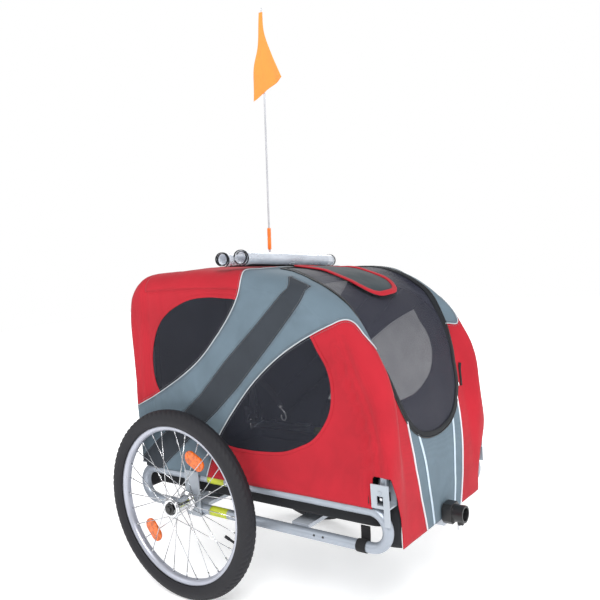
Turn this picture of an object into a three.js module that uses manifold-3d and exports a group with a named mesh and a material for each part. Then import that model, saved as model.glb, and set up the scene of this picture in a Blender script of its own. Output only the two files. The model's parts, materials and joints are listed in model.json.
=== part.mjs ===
// A two-wheel pet bicycle trailer: an aluminium frame of two racetrack side loops, two folding hoops
// that carry a fabric cabin, quick-release 20 inch wheels, a hitch receiver and a safety flag.
// Millimetres, +Z up, +X is forward (towards the bicycle). The axle is at x = 0 inside the group,
// and the group is moved so that the origin is the middle of the ground footprint.
import * as THREE from "three";
import { mergeVertices } from "three/addons/utils/BufferGeometryUtils.js";
import Module from "manifold-3d";

const wasm = await Module();
wasm.setup();

// ---- driving dimensions -------------------------------------------------------------------------
const GAP = 0.4; // between two pieces that touch on the real trailer

const WHEEL_R = 250; // outside of a 20 inch tyre
const TYRE_R = 23.5; // half the tyre's section width
const TYRE_WALL = 4;
const WHEEL_FACETS = 28;
const RIM_OUTER_R = 209.5;
const RIM_BASE_R = 196;
const RIM_HALF_WIDTH = 12.5;
const RIM_WALL = 3;
const WHEEL_Y = 294; // wheel plane from the centre plane
const FLANGE_R = 27;
const FLANGE_Y = 28;
const SPOKE_HOLE_R = 23;
const SPOKES_PER_SIDE = 14;
const SPOKE_R = 1.1;
const AXLE_R = 6;
const AXLE_BORE_R = 6.4;
const AXLE_HEAD_Y = 34.6; // inner face of the axle's head, outboard of the wheel plane
const AXLE_END_Y = -98; // inboard end of the axle, from the wheel plane

const LOOP_Y = 239; // plane of each side loop
const LOOP_R = 12.5; // 25 mm tube
const LOOP_TOP = 312;
const LOOP_BOTTOM = 225;
const LOOP_REAR_X = -186;
const LOOP_FRONT_X = 587;
const CROSS_BAR_X = 336;

const COVER_HALF_WIDTH = 252.5;
const SHEET = 2; // fabric thickness
const SEAM = 3; // between a side panel and the wrap-over fabric
const FRONT_BOTTOM = 221;
const REAR_BOTTOM = 245;
const SIDE_BOTTOM = 331;

const HOOP_R = 10;
const HOOP_CORNER = 60;
const FRONT_HOOP_Y = 237;
const REAR_HOOP_Y = 213;
const FRONT_PIVOT = { x: 580, z: 360 };
const REAR_PIVOT = { x: -168, z: 360 };
const PIVOT_PIN_R = 4;
const PIVOT_HOLE_R = 4.35;
const BUTTON_DROP = 15; // snap button below the hoop's pivot

const HITCH_Z = 236;
const DRAWBAR_Z = 215;
const HITCH_END_X = 660;
const CENTRE_X = (HITCH_END_X - WHEEL_R) / 2; // middle of the whole trailer's length

// ---- materials ----------------------------------------------------------------------------------
function finish(color, roughness, metalness = 0) {
  return new THREE.MeshStandardMaterial({ color, roughness, metalness });
}
const ALUMINIUM = finish(0xb4bac4, 0.4, 0.9);
const BLACK_PLASTIC = finish(0x1c1d20, 0.5);
const BLACK_FABRIC = finish(0x24262b, 0.9);
const MESH_FABRIC = finish(0x26282f, 0.8);
const RED_FABRIC = finish(0xc02c3c, 0.85);
const GREY_FABRIC = finish(0x73879a, 0.85);
const RUBBER = finish(0x2b2c30, 0.8);
const STEEL = finish(0xc4c8cc, 0.3, 1);
const ORANGE = finish(0xf07818, 0.4);
const WHITE = finish(0xe6e8ea, 0.5);
const CLEAR_SHEET = finish(0xc8d2e6, 0.2);

// ---- helpers ------------------------------------------------------------------------------------
function toSolid(geometry) {
  const bare = geometry.clone();
  for (const name of ["normal", "uv"]) bare.deleteAttribute(name);
  const merged = mergeVertices(bare, 1e-4);
  const mesh = new wasm.Mesh({
    numProp: 3,
    vertProperties: new Float32Array(merged.attributes.position.array),
    triVerts: new Uint32Array(merged.index.array),
  });
  return new wasm.Manifold(mesh);
}

function toGeometry(solid) {
  const mesh = solid.getMesh();
  const geometry = new THREE.BufferGeometry();
  geometry.setAttribute("position", new THREE.BufferAttribute(mesh.vertProperties, 3));
  geometry.setIndex(new THREE.BufferAttribute(mesh.triVerts, 1));
  const flat = geometry.toNonIndexed();
  flat.computeVertexNormals();
  return flat;
}

function join(...geometries) {
  return toGeometry(geometries.map(toSolid).reduce((sum, solid) => sum.add(solid)));
}

function cut(geometry, ...tools) {
  return toGeometry(tools.map(toSolid).reduce((rest, tool) => rest.subtract(tool), toSolid(geometry)));
}

function keepInside(geometry, ...limits) {
  return toGeometry(limits.map(toSolid).reduce((rest, limit) => rest.intersect(limit), toSolid(geometry)));
}

// The right-hand copy of a left-hand piece.
function mirrored(geometry) {
  return toGeometry(toSolid(geometry).mirror([0, 1, 0]));
}

// A box between two corners.
function box(x0, x1, y0, y1, z0, z1) {
  const geometry = new THREE.BoxGeometry(x1 - x0, y1 - y0, z1 - z0);
  return geometry.translate((x0 + x1) / 2, (y0 + y1) / 2, (z0 + z1) / 2);
}

// A round bar between two points.
function rod(radius, from, to, sides = 16) {
  const start = new THREE.Vector3(...from);
  const along = new THREE.Vector3(...to).sub(start);
  const geometry = new THREE.CylinderGeometry(radius, radius, along.length(), sides);
  geometry.translate(0, along.length() / 2, 0);
  const turn = new THREE.Quaternion().setFromUnitVectors(new THREE.Vector3(0, 1, 0), along.normalize());
  return geometry.applyQuaternion(turn).translate(start.x, start.y, start.z);
}

// A flat plate whose outline lies in the XZ plane, between two values of y.
function plate(shape, y0, y1) {
  const settings = { depth: y1 - y0, bevelEnabled: false, curveSegments: 6 };
  const geometry = new THREE.ExtrudeGeometry(shape, settings);
  return geometry.rotateX(Math.PI / 2).translate(0, y1, 0);
}

function polygon(points) {
  return new THREE.Shape(points.map(([x, z]) => new THREE.Vector2(x, z)));
}

// A solid of revolution about the Y axis; the profile of [radius, y] pairs runs up its outer side.
function turned(profile, segments) {
  const closed = [...profile, profile[0]].map(([r, y]) => new THREE.Vector2(r, y));
  return new THREE.LatheGeometry(closed, segments);
}

// A round tube along a list of points, its rings turned as little as possible from one to the next.
function tube(points, radius, sides, closed = false) {
  const path = points.map((p) => new THREE.Vector3(...p));
  const count = path.length;
  const unit = (i, j) => path[j].clone().sub(path[i]).normalize();
  const tangents = path.map((_, i) => {
    const sum = new THREE.Vector3();
    if (closed || i > 0) sum.add(unit((i - 1 + count) % count, i));
    if (closed || i < count - 1) sum.add(unit(i, (i + 1) % count));
    return sum.normalize();
  });
  const across = new THREE.Vector3(0, 1, 0).cross(tangents[0]);
  if (across.length() < 0.1) across.set(0, 0, 1);
  const positions = [];
  for (let i = 0; i < count; i++) {
    across.addScaledVector(tangents[i], -across.dot(tangents[i])).normalize();
    const side = tangents[i].clone().cross(across);
    for (let k = 0; k < sides; k++) {
      const angle = (2 * Math.PI * (k + 0.5)) / sides;
      const point = path[i].clone();
      point.addScaledVector(across, radius * Math.cos(angle));
      point.addScaledVector(side, radius * Math.sin(angle));
      positions.push(point.x, point.y, point.z);
    }
  }
  const index = [];
  const spans = closed ? count : count - 1;
  for (let i = 0; i < spans; i++) {
    for (let k = 0; k < sides; k++) {
      const a = i * sides + k;
      const b = i * sides + ((k + 1) % sides);
      const c = ((i + 1) % count) * sides + k;
      const d = ((i + 1) % count) * sides + ((k + 1) % sides);
      index.push(a, b, c, b, d, c);
    }
  }
  if (!closed) {
    const last = (count - 1) * sides;
    for (let k = 1; k < sides - 1; k++) {
      index.push(0, k + 1, k);
      index.push(last, last + k, last + k + 1);
    }
  }
  const geometry = new THREE.BufferGeometry();
  geometry.setAttribute("position", new THREE.Float32BufferAttribute(positions, 3));
  geometry.setIndex(index);
  return geometry;
}

// Points of an arc in a plane, angles in degrees.
function arc(centre, radius, from, to, steps) {
  return Array.from({ length: steps + 1 }, (_, i) => {
    const angle = THREE.MathUtils.degToRad(from + ((to - from) * i) / steps);
    return [centre[0] + radius * Math.cos(angle), centre[1] + radius * Math.sin(angle)];
  });
}

const trailer = new THREE.Group();
trailer.position.x = -CENTRE_X;

function addPiece(name, geometry, material, parent = trailer) {
  const mesh = new THREE.Mesh(geometry, material);
  mesh.name = name;
  parent.add(mesh);
  return mesh;
}

// Runs a builder for the right side (y negative) and the left side (y positive).
function bothSides(build) {
  build("right", -1);
  build("left", 1);
}

// ---- frame --------------------------------------------------------------------------------------
function sideLoop(side) {
  const bend = (LOOP_TOP - LOOP_BOTTOM) / 2;
  const middle = (LOOP_TOP + LOOP_BOTTOM) / 2;
  const outline = [
    ...arc([LOOP_FRONT_X - bend, middle], bend, -90, 90, 8),
    ...arc([LOOP_REAR_X + bend, middle], bend, 90, 270, 8),
  ];
  return tube(outline.map(([x, z]) => [x, side * LOOP_Y, z]), LOOP_R, 12, true);
}

const CROSS_BAR_HALF = 25;
const CROSS_BAR_REACH = 225;
const CROSS_BAR_Z = [228, 238];
const AXLE_BRACKET_X = [-15, 35];
const AXLE_BRACKET_WALL = 3.5;
const AXLE_SOCKET_R = 11;

function crossBar(x0, x1, reach) {
  return box(x0, x1, -reach, reach, ...CROSS_BAR_Z);
}

// The left axle bracket: a channel hooked over both rails of the loop, with the axle's socket in it.
function axleBracket() {
  const clear = LOOP_R + GAP;
  const [x0, x1] = AXLE_BRACKET_X;
  const y0 = LOOP_Y - clear;
  const y1 = LOOP_Y + clear + AXLE_BRACKET_WALL;
  const z0 = LOOP_BOTTOM - clear;
  const z1 = LOOP_TOP + clear;
  const channel = cut(
    box(x0, x1, y0, y1, z0 - AXLE_BRACKET_WALL, z1 + AXLE_BRACKET_WALL),
    box(x0 - 1, x1 + 1, y0 - 1, LOOP_Y + clear, z0, z1),
  );
  const socketEnd = WHEEL_Y + AXLE_END_Y;
  const socket = rod(AXLE_SOCKET_R, [0, socketEnd, WHEEL_R], [0, y1, WHEEL_R], 16);
  const bore = rod(AXLE_BORE_R, [0, socketEnd - 1, WHEEL_R], [0, y1 + 1, WHEEL_R], 16);
  return cut(join(channel, socket), bore);
}

const TRAY_X = [-172, 571];
const TRAY_HALF_WIDTH = 225.5;
const TRAY_Z = [266, 305];
const BOARD_THICKNESS = 8;

function roundedPlan(x0, x1, halfWidth, corner) {
  return new THREE.Shape(
    [
      ...arc([x1 - corner, halfWidth - corner], corner, 0, 90, 4),
      ...arc([x0 + corner, halfWidth - corner], corner, 90, 180, 4),
      ...arc([x0 + corner, corner - halfWidth], corner, 180, 270, 4),
      ...arc([x1 - corner, corner - halfWidth], corner, 270, 360, 4),
    ].map(([x, y]) => new THREE.Vector2(x, y)),
  );
}

function slab(shape, z0, z1) {
  return new THREE.ExtrudeGeometry(shape, { depth: z1 - z0, bevelEnabled: false }).translate(0, 0, z0);
}

function floorTray() {
  const [x0, x1] = TRAY_X;
  const [z0, z1] = TRAY_Z;
  const outside = slab(roundedPlan(x0, x1, TRAY_HALF_WIDTH, 30), z0, z1);
  const inside = slab(roundedPlan(x0 + SHEET, x1 - SHEET, TRAY_HALF_WIDTH - SHEET, 28), z0 + SHEET, z1 + 1);
  return cut(outside, inside);
}

function floorBoard() {
  const [x0, x1] = TRAY_X;
  const inset = SHEET + GAP;
  const bottom = TRAY_Z[0] + inset;
  const plan = roundedPlan(x0 + inset, x1 - inset, TRAY_HALF_WIDTH - inset, 28);
  return slab(plan, bottom, bottom + BOARD_THICKNESS);
}

const BRACKET_CLEARANCE = 5; // from a hoop's tube to each cheek
const CHEEK = 3;
const BRACKET_TOP = 378;
const BRACKET_BASE = [325, 329];

// Two cheeks joined by a base plate on the top rail, with the pivot pin riveted through them.
function hoopBracket(pivot, hoopY, halfLength, postBottom, baseReach) {
  const inner = HOOP_R + BRACKET_CLEARANCE;
  const x0 = pivot.x - halfLength;
  const x1 = pivot.x + halfLength;
  const cheek = (y) => box(x0, x1, y, y + CHEEK, BRACKET_BASE[0], BRACKET_TOP);
  const pieces = [
    cheek(hoopY - inner - CHEEK),
    cheek(hoopY + inner),
    box(x0, x1, hoopY - inner - CHEEK, baseReach, ...BRACKET_BASE),
    rod(
      PIVOT_PIN_R,
      [pivot.x, hoopY - inner - CHEEK - 2, pivot.z],
      [pivot.x, hoopY + inner + CHEEK + 2, pivot.z],
      12,
    ),
  ];
  if (postBottom) {
    const postWidth = 14;
    pieces.push(box(x1 - postWidth, x1, hoopY + inner, hoopY + inner + CHEEK, postBottom, BRACKET_TOP));
  }
  const windowHalf = 8;
  const window = box(
    pivot.x - windowHalf,
    pivot.x + windowHalf,
    hoopY - inner - CHEEK - 1,
    hoopY + inner + CHEEK + 1,
    BRACKET_BASE[1] + 3,
    pivot.z - 7,
  );
  return cut(join(...pieces), window);
}

const HITCH_BLOCK_X = 609;
const HITCH_BLOCK_HALF = 24;
const HITCH_TUBE_R = 21;
const HITCH_BORE_R = 16;
const HITCH_BORE_DEPTH = 48;
const HITCH_PIN_X = 646;
const HITCH_PIN_R = 4;
const DRAWBAR_HALF = 12.5;

function hitchReceiver() {
  const blockEnd = HITCH_BLOCK_X + 24;
  const chamfer = 9;
  const half = HITCH_BLOCK_HALF;
  const outline = new THREE.Shape(
    [
      [half, chamfer - half],
      [half, half - chamfer],
      [half - chamfer, half],
      [chamfer - half, half],
      [-half, half - chamfer],
      [-half, chamfer - half],
      [chamfer - half, -half],
      [half - chamfer, -half],
    ].map(([y, z]) => new THREE.Vector2(y, z)),
  );
  const settings = { depth: blockEnd - HITCH_BLOCK_X, bevelEnabled: false };
  const block = new THREE.ExtrudeGeometry(outline, settings);
  block.rotateZ(Math.PI / 2).rotateY(Math.PI / 2).translate(HITCH_BLOCK_X, 0, HITCH_Z);
  const barrel = rod(HITCH_TUBE_R, [blockEnd - 4, 0, HITCH_Z], [HITCH_END_X, 0, HITCH_Z], 24);
  const boreEnd = HITCH_END_X - HITCH_BORE_DEPTH;
  const bore = rod(HITCH_BORE_R, [boreEnd, 0, HITCH_Z], [HITCH_END_X + 1, 0, HITCH_Z], 24);
  const pinHole = rod(HITCH_PIN_R + GAP, [HITCH_PIN_X, 0, HITCH_Z - 30], [HITCH_PIN_X, 0, HITCH_Z], 12);
  const tubeBottom = HITCH_Z - HITCH_TUBE_R;
  const boss = rod(8, [HITCH_PIN_X, 0, tubeBottom - 5], [HITCH_PIN_X, 0, tubeBottom + 3], 12);
  return cut(join(block, barrel, boss), bore, pinHole);
}

function hitchPin() {
  const tip = HITCH_Z - HITCH_BORE_R + 9;
  const knobTop = HITCH_Z - HITCH_TUBE_R - 5 - GAP;
  const shank = rod(HITCH_PIN_R, [HITCH_PIN_X, 0, knobTop - 2], [HITCH_PIN_X, 0, tip], 12);
  const knob = rod(8, [HITCH_PIN_X, 0, knobTop - 14], [HITCH_PIN_X, 0, knobTop], 12);
  return join(shank, knob);
}

// ---- safety flag --------------------------------------------------------------------------------
const POLE_R = 3.5;
const POLE_Y = 262;
const POLE_FOOT = { x: -116, z: 322 };
const POLE_LEAN = 2.72; // degrees forward
const POLE_LENGTH = 1308;
const SOCKET_R = 6.5;
const SOCKET_LENGTH = 45;

// A point along the pole, by the distance from its foot.
function onPole(distance) {
  const lean = THREE.MathUtils.degToRad(POLE_LEAN);
  return [POLE_FOOT.x + distance * Math.sin(lean), POLE_Y, POLE_FOOT.z + distance * Math.cos(lean)];
}

function flagSocket() {
  const sleeve = rod(SOCKET_R, onPole(-8), onPole(SOCKET_LENGTH), 12);
  const railTop = LOOP_TOP + LOOP_R + GAP;
  const clampFoot = box(POLE_FOOT.x - 12, POLE_FOOT.x + 12, LOOP_Y + 4, POLE_Y, railTop, LOOP_TOP + 18);
  return cut(join(sleeve, clampFoot), rod(POLE_R + GAP, onPole(-1), onPole(SOCKET_LENGTH + 5), 12));
}

function flagPole() {
  const shaft = rod(POLE_R, onPole(0), onPole(POLE_LENGTH - 6), 12);
  const cap = rod(POLE_R + 2, onPole(POLE_LENGTH - 10), onPole(POLE_LENGTH), 12);
  return join(shaft, cap);
}

function flagFerrule() {
  const from = 563;
  const to = 632;
  return cut(rod(6, onPole(from), onPole(to), 12), rod(POLE_R + GAP, onPole(from - 1), onPole(to + 1), 12));
}

function flagPennant() {
  const [topX, , topZ] = onPole(POLE_LENGTH - 14);
  const outline = polygon([
    [topX - 7, topZ],
    [topX - 20, topZ - 90],
    [topX - 48, topZ - 190],
    [topX - 52, topZ - 262],
    [topX + 68, topZ - 208],
    [topX + 7, topZ - 60],
    [topX + 5, topZ],
  ]);
  return plate(outline, POLE_Y - 7, POLE_Y - 5.5);
}

// ---- wheels -------------------------------------------------------------------------------------
// Wheels are built about their own centre, with +Y outboard.
function tyre() {
  const centre = WHEEL_R - TYRE_R;
  const outer = arc([centre, 0], TYRE_R, -135, 135, 8);
  const inner = arc([centre, 0], TYRE_R - TYRE_WALL, 135, -135, 5);
  return turned([...outer, ...inner], WHEEL_FACETS);
}

const VALVE_ANGLE = -20;
const VALVE_TIP_R = 163;

function spoked(radius, angle) {
  const turn = THREE.MathUtils.degToRad(angle);
  return [radius * Math.cos(turn), 0, radius * Math.sin(turn)];
}

// An inner tube whose hollow opens through its valve stem.
function innerTube(angle) {
  const centre = WHEEL_R - TYRE_R;
  const section = TYRE_R - TYRE_WALL - 4;
  const skin = turned(arc([centre, 0], section, 0, 300, 5), 20);
  const air = turned(arc([centre, 0], section - 2, 0, 300, 5), 20);
  const stem = rod(4, spoked(centre - section + 2, angle), spoked(VALVE_TIP_R, angle), 10);
  const bore = rod(1.5, spoked(centre, angle), spoked(VALVE_TIP_R - 1, angle), 6);
  return cut(join(skin, stem), air, bore);
}

function rim(angle) {
  const inside = RIM_HALF_WIDTH - RIM_WALL;
  const channel = turned(
    [
      [RIM_BASE_R, -inside],
      [RIM_BASE_R + RIM_WALL, -RIM_HALF_WIDTH],
      [RIM_OUTER_R, -RIM_HALF_WIDTH],
      [RIM_OUTER_R, -inside],
      [RIM_BASE_R + RIM_WALL + 1, -inside],
      [RIM_BASE_R + RIM_WALL + 1, inside],
      [RIM_OUTER_R, inside],
      [RIM_OUTER_R, RIM_HALF_WIDTH],
      [RIM_BASE_R + RIM_WALL, RIM_HALF_WIDTH],
      [RIM_BASE_R, inside],
    ],
    WHEEL_FACETS,
  );
  return cut(channel, rod(5, spoked(RIM_OUTER_R - 6, angle), spoked(RIM_BASE_R - 10, angle), 10));
}

function hub() {
  const barrel = 17;
  const endCap = 24;
  const half = 2;
  return turned(
    [
      [AXLE_BORE_R, -37],
      [14, -37],
      [14, -FLANGE_Y - half],
      [FLANGE_R, -FLANGE_Y - half],
      [FLANGE_R, -FLANGE_Y + half],
      [barrel, -FLANGE_Y + 8],
      [barrel, FLANGE_Y - 8],
      [FLANGE_R, FLANGE_Y - half],
      [FLANGE_R, FLANGE_Y + half],
      [endCap, FLANGE_Y + half],
      [endCap, AXLE_HEAD_Y - 1],
      [AXLE_BORE_R, AXLE_HEAD_Y - 1],
    ],
    16,
  );
}

// The spokes of one flange, laced two-cross, joined where they cross.
function spokes(outboard) {
  const reach = 51.4; // degrees from a spoke's hub hole to its rim hole
  const bars = [];
  for (let k = 0; k < SPOKES_PER_SIDE; k++) {
    const holeAngle = (360 * (k + (outboard > 0 ? 0 : 0.5))) / SPOKES_PER_SIDE;
    const rimAngle = holeAngle + (k % 2 ? reach : -reach);
    const hole = new THREE.Vector3(...spoked(SPOKE_HOLE_R, holeAngle)).setY(outboard * FLANGE_Y);
    const end = new THREE.Vector3(...spoked(RIM_BASE_R - 0.5, rimAngle));
    const start = hole.clone();
    const step = end.clone().sub(hole).multiplyScalar(0.004);
    while (Math.hypot(start.x, start.z) < FLANGE_R + 0.8) start.add(step);
    end.lerp(start, 0.003);
    bars.push(rod(SPOKE_R, start.toArray(), end.toArray(), 4));
  }
  return join(...bars);
}

// Reflectors are clipped in the gap between the outer and the inner spokes.
const REFLECTOR_R = 140;
const REFLECTOR_HALF_LENGTH = 33;
const REFLECTOR_HALF_WIDTH = 19;
const REFLECTOR_HALF_THICKNESS = 3.3;

function reflector(angle) {
  const halfWidth = REFLECTOR_HALF_WIDTH;
  const centre = REFLECTOR_HALF_LENGTH - halfWidth;
  const oneEnd = arc([centre, 0], halfWidth, -90, 90, 6);
  const otherEnd = arc([-centre, 0], halfWidth, 90, 270, 6);
  const outline = polygon([...oneEnd, ...otherEnd]);
  const stadium = plate(outline, -REFLECTOR_HALF_THICKNESS, REFLECTOR_HALF_THICKNESS);
  stadium.translate(0, 0, REFLECTOR_R);
  return stadium.rotateY(THREE.MathUtils.degToRad(90 - angle));
}

const BUTTON_R = 7.4;
const AXLE_HEAD_R = 15;
const AXLE_HEAD_END = 39;

function axle() {
  const shaft = rod(AXLE_R, [0, AXLE_END_Y, 0], [0, AXLE_HEAD_Y + 1, 0], 16);
  const head = rod(AXLE_HEAD_R, [0, AXLE_HEAD_Y, 0], [0, AXLE_HEAD_END, 0], 16);
  const pocket = rod(BUTTON_R + GAP, [0, AXLE_HEAD_Y + 0.6, 0], [0, AXLE_HEAD_END + 1, 0], 16);
  return cut(join(shaft, head), pocket);
}

function releaseButton() {
  return rod(BUTTON_R, [0, AXLE_HEAD_END - 1, 0], [0, AXLE_HEAD_END + 2.5, 0], 16);
}

function addWheel(sideName, side) {
  const wheel = new THREE.Group();
  wheel.position.set(0, side * WHEEL_Y, WHEEL_R);
  wheel.rotation.z = side > 0 ? 0 : Math.PI;
  trailer.add(wheel);
  // Angles are seen from outboard of the right wheel; the left wheel is its mirror image.
  const seen = (angle) => (side > 0 ? angle : 180 - angle);
  const add = (name, geometry, material) => addPiece(name + "_" + sideName, geometry, material, wheel);
  add("tyre", tyre(), RUBBER);
  add("inner_tube", innerTube(seen(VALVE_ANGLE)), RUBBER);
  add("rim", rim(seen(VALVE_ANGLE)), ALUMINIUM);
  add("hub", hub(), STEEL);
  add("outer_spokes", spokes(1), STEEL);
  add("inner_spokes", spokes(-1), STEEL);
  add("upper_reflector", reflector(seen(62)), ORANGE);
  add("lower_reflector", reflector(seen(-141)), ORANGE);
  add("axle", axle(), STEEL);
  add("release_button", releaseButton(), BLACK_PLASTIC);
}

// ---- folding hoops ------------------------------------------------------------------------------
// One half of a hoop runs up in the plane y = side * hoopY, then turns inboard to the top bar.
function hoop(legPoints, hoopY) {
  const [topX, topZ] = legPoints[legPoints.length - 1];
  const [beforeX, beforeZ] = legPoints[legPoints.length - 2];
  const along = new THREE.Vector2(topX - beforeX, topZ - beforeZ).normalize();
  const half = (side) => [
    ...legPoints.slice(0, -1).map(([x, z]) => [x, side * hoopY, z]),
    ...arc([0, 0], HOOP_CORNER, 0, 90, 5).map(([inward, forward]) => [
      topX + along.x * (forward - HOOP_CORNER),
      side * (hoopY - HOOP_CORNER + inward),
      topZ + along.y * (forward - HOOP_CORNER),
    ]),
  ];
  return tube([...half(-1), ...half(1).reverse()], HOOP_R, 8);
}

const FRONT_LEG = [
  [579, 338],
  [581, 372],
  [586, 450],
  [579, 530],
  [558, 610],
  [525, 673],
  [480, 721],
  [422, 758],
  [340, 785],
  [262, 798],
];
const REAR_LEG = [
  [-168, 338],
  [-168, 380],
  [-140, 822],
];

// Pivot holes and snap button pockets are drilled through a hoop's two feet.
function drilledHoop(leg, hoopY, pivot) {
  const tools = [];
  for (const side of [-1, 1]) {
    const at = (y, z) => [pivot.x, side * y, z];
    tools.push(rod(PIVOT_HOLE_R, at(hoopY - 20, pivot.z), at(hoopY + 20, pivot.z), 12));
    tools.push(rod(4.2, at(hoopY - 3, pivot.z - BUTTON_DROP), at(hoopY + 20, pivot.z - BUTTON_DROP), 10));
  }
  return cut(hoop(leg, hoopY), ...tools);
}

function snapButton(pivot, hoopY, side) {
  const z = pivot.z - BUTTON_DROP;
  const reach = hoopY + HOOP_R + BRACKET_CLEARANCE - 1;
  return rod(3.6, [pivot.x, side * (hoopY + 1), z], [pivot.x, side * reach, z], 10);
}

// ---- fabric cabin -------------------------------------------------------------------------------
// The cabin's side view, from the rear bottom edge over the roof to the front bottom edge, as
// [x, z] on the centre plane and how far the corners stand further forward and up at the sides.
const REAR_X = -192;
const ROOF_CORNER = 75;
const PROFILE = [
  { at: [REAR_X, REAR_BOTTOM] },
  { at: [REAR_X, 400] },
  { at: [REAR_X, 590] },
  ...arc([REAR_X + ROOF_CORNER, 770], ROOF_CORNER, 180, 90, 6).map((at) => ({ at })),
  { at: [-30, 849] },
  { at: [60, 851] },
  { at: [150, 850] },
  { at: [230, 846] },
  { at: [300, 838], out: [5, -2] },
  { at: [360, 824], out: [10, -2] },
  { at: [410, 803], out: [18, -3] },
  { at: [455, 774], out: [25, -6] },
  { at: [492, 736], out: [28, -4] },
  { at: [520, 697], out: [30, 0] },
  { at: [545, 650], out: [33, 0] },
  { at: [562, 610], out: [34, 0] },
  { at: [573, 565], out: [34, 0] },
  { at: [584, 520], out: [28, 0] },
  { at: [592, 470], out: [23, 0] },
  { at: [599, 420], out: [16, 0] },
  { at: [603, 370], out: [9, 0] },
  { at: [605, 300], out: [3, 0] },
  { at: [605, FRONT_BOTTOM] },
];
const CORNER_START = 0.82; // share of the flat half width where the corners begin to stand forward

function shoulder(x, z) {
  if (x < REAR_X + ROOF_CORNER) {
    const up = THREE.MathUtils.smoothstep(z, 700, 840);
    return { wide: 22 + 38 * up, deep: 22 + 23 * up };
  }
  const narrower = THREE.MathUtils.smoothstep(800 - z, 0, 120);
  const down = THREE.MathUtils.smoothstep(800 - z, 0, 250);
  return { wide: 60 - 26 * narrower, deep: 45 - 20 * down };
}

function outwardNormal(i, bulge) {
  const point = (k) => profilePoint(Math.min(Math.max(k, 0), PROFILE.length - 1), bulge);
  const [before, after] = [point(i - 1), point(i + 1)];
  return new THREE.Vector2(-(after[1] - before[1]), after[0] - before[0]).normalize();
}

function profilePoint(i, bulge) {
  const { at, out = [0, 0] } = PROFILE[i];
  return [at[0] + bulge * out[0], at[1] + bulge * out[1]];
}

// A point on the cabin's outer skin: i along the profile, share (0 to 1) of the way across the flat
// part, then angle (0 to 90) round the shoulder into the side plane.
function skinPoint(i, share, angle, side) {
  const bulge = THREE.MathUtils.smoothstep(share, CORNER_START, 1);
  const [x, z] = profilePoint(i, bulge);
  const normal = outwardNormal(i, bulge);
  const { wide, deep } = shoulder(...PROFILE[i].at);
  const turn = THREE.MathUtils.degToRad(angle);
  const inset = deep * (1 - Math.cos(turn));
  const reach = share * (COVER_HALF_WIDTH - wide) + wide * Math.sin(turn);
  return new THREE.Vector3(x - normal.x * inset, side * reach, z - normal.y * inset);
}

// Stations across the skin from the right side plane to the left one.
function skinRow(i) {
  const left = [
    ...[0.45, CORNER_START, 0.91, 1].map((share) => skinPoint(i, share, 0, 1)),
    ...[25, 48, 70, 90].map((angle) => skinPoint(i, 1, angle, 1)),
  ];
  const right = left.map((p) => p.clone().setY(-p.y)).reverse();
  return [...right, skinPoint(i, 0, 0, 1), ...left];
}

// A closed sheet of the given thickness inside a grid of outer points.
function thickSheet(rows, thickness) {
  const high = rows.length;
  const wide = rows[0].length;
  const clampRow = (i) => Math.min(Math.max(i, 0), high - 1);
  const clampColumn = (j) => Math.min(Math.max(j, 0), wide - 1);
  const outer = [];
  const inner = [];
  for (let i = 0; i < high; i++) {
    for (let j = 0; j < wide; j++) {
      const along = rows[clampRow(i + 1)][j].clone().sub(rows[clampRow(i - 1)][j]);
      const across = rows[i][clampColumn(j + 1)].clone().sub(rows[i][clampColumn(j - 1)]);
      const inward = across.cross(along).normalize();
      outer.push(rows[i][j]);
      inner.push(rows[i][j].clone().addScaledVector(inward, thickness));
    }
  }
  const positions = [...outer, ...inner].flatMap((p) => p.toArray());
  const index = [];
  const quad = (a, b, c, d) => index.push(a, b, c, a, c, d);
  const shift = outer.length;
  const at = (i, j) => i * wide + j;
  for (let i = 0; i < high - 1; i++) {
    for (let j = 0; j < wide - 1; j++) {
      const [a, b, c, d] = [at(i, j), at(i, j + 1), at(i + 1, j + 1), at(i + 1, j)];
      quad(d, c, b, a);
      quad(a + shift, b + shift, c + shift, d + shift);
    }
  }
  for (let j = 0; j < wide - 1; j++) {
    quad(at(0, j), at(0, j + 1), at(0, j + 1) + shift, at(0, j) + shift);
    quad(at(high - 1, j + 1), at(high - 1, j), at(high - 1, j) + shift, at(high - 1, j + 1) + shift);
  }
  for (let i = 0; i < high - 1; i++) {
    quad(at(i + 1, 0), at(i, 0), at(i, 0) + shift, at(i + 1, 0) + shift);
    quad(at(i, wide - 1), at(i + 1, wide - 1), at(i + 1, wide - 1) + shift, at(i, wide - 1) + shift);
  }
  const geometry = new THREE.BufferGeometry();
  geometry.setAttribute("position", new THREE.Float32BufferAttribute(positions, 3));
  geometry.setIndex(index);
  return geometry;
}

const FAR = 1000;
const ROOF_START_X = REAR_X + ROOF_CORNER;
const ROOF_END_X = 234;

function wrap() {
  return thickSheet(PROFILE.map((_, i) => skinRow(i)), SHEET);
}

// A prism whose outline lies in the YZ plane, between two values of x.
function prismX(points, x0, x1) {
  const geometry = new THREE.ExtrudeGeometry(polygon(points), { depth: x1 - x0, bevelEnabled: false });
  return geometry.rotateY(Math.PI / 2).rotateX(Math.PI / 2).translate(x0, 0, 0);
}

// The front door's outline seen from the front, and how it narrows towards the roof.
function doorOutline(inset) {
  const sides = [
    [190, 900],
    [190, 770],
    [193, 713],
    [181, 655],
    [166, 585],
    [146, 515],
    [122, 470],
    [80, 442],
    [0, 430],
  ];
  const right = sides.map(([y, z]) => [y - inset * Math.sign(y), z + (z < 500 ? inset : 0)]);
  const left = right.slice(0, -1).map(([y, z]) => [-y, z]).reverse();
  return [...right, ...left];
}

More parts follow.
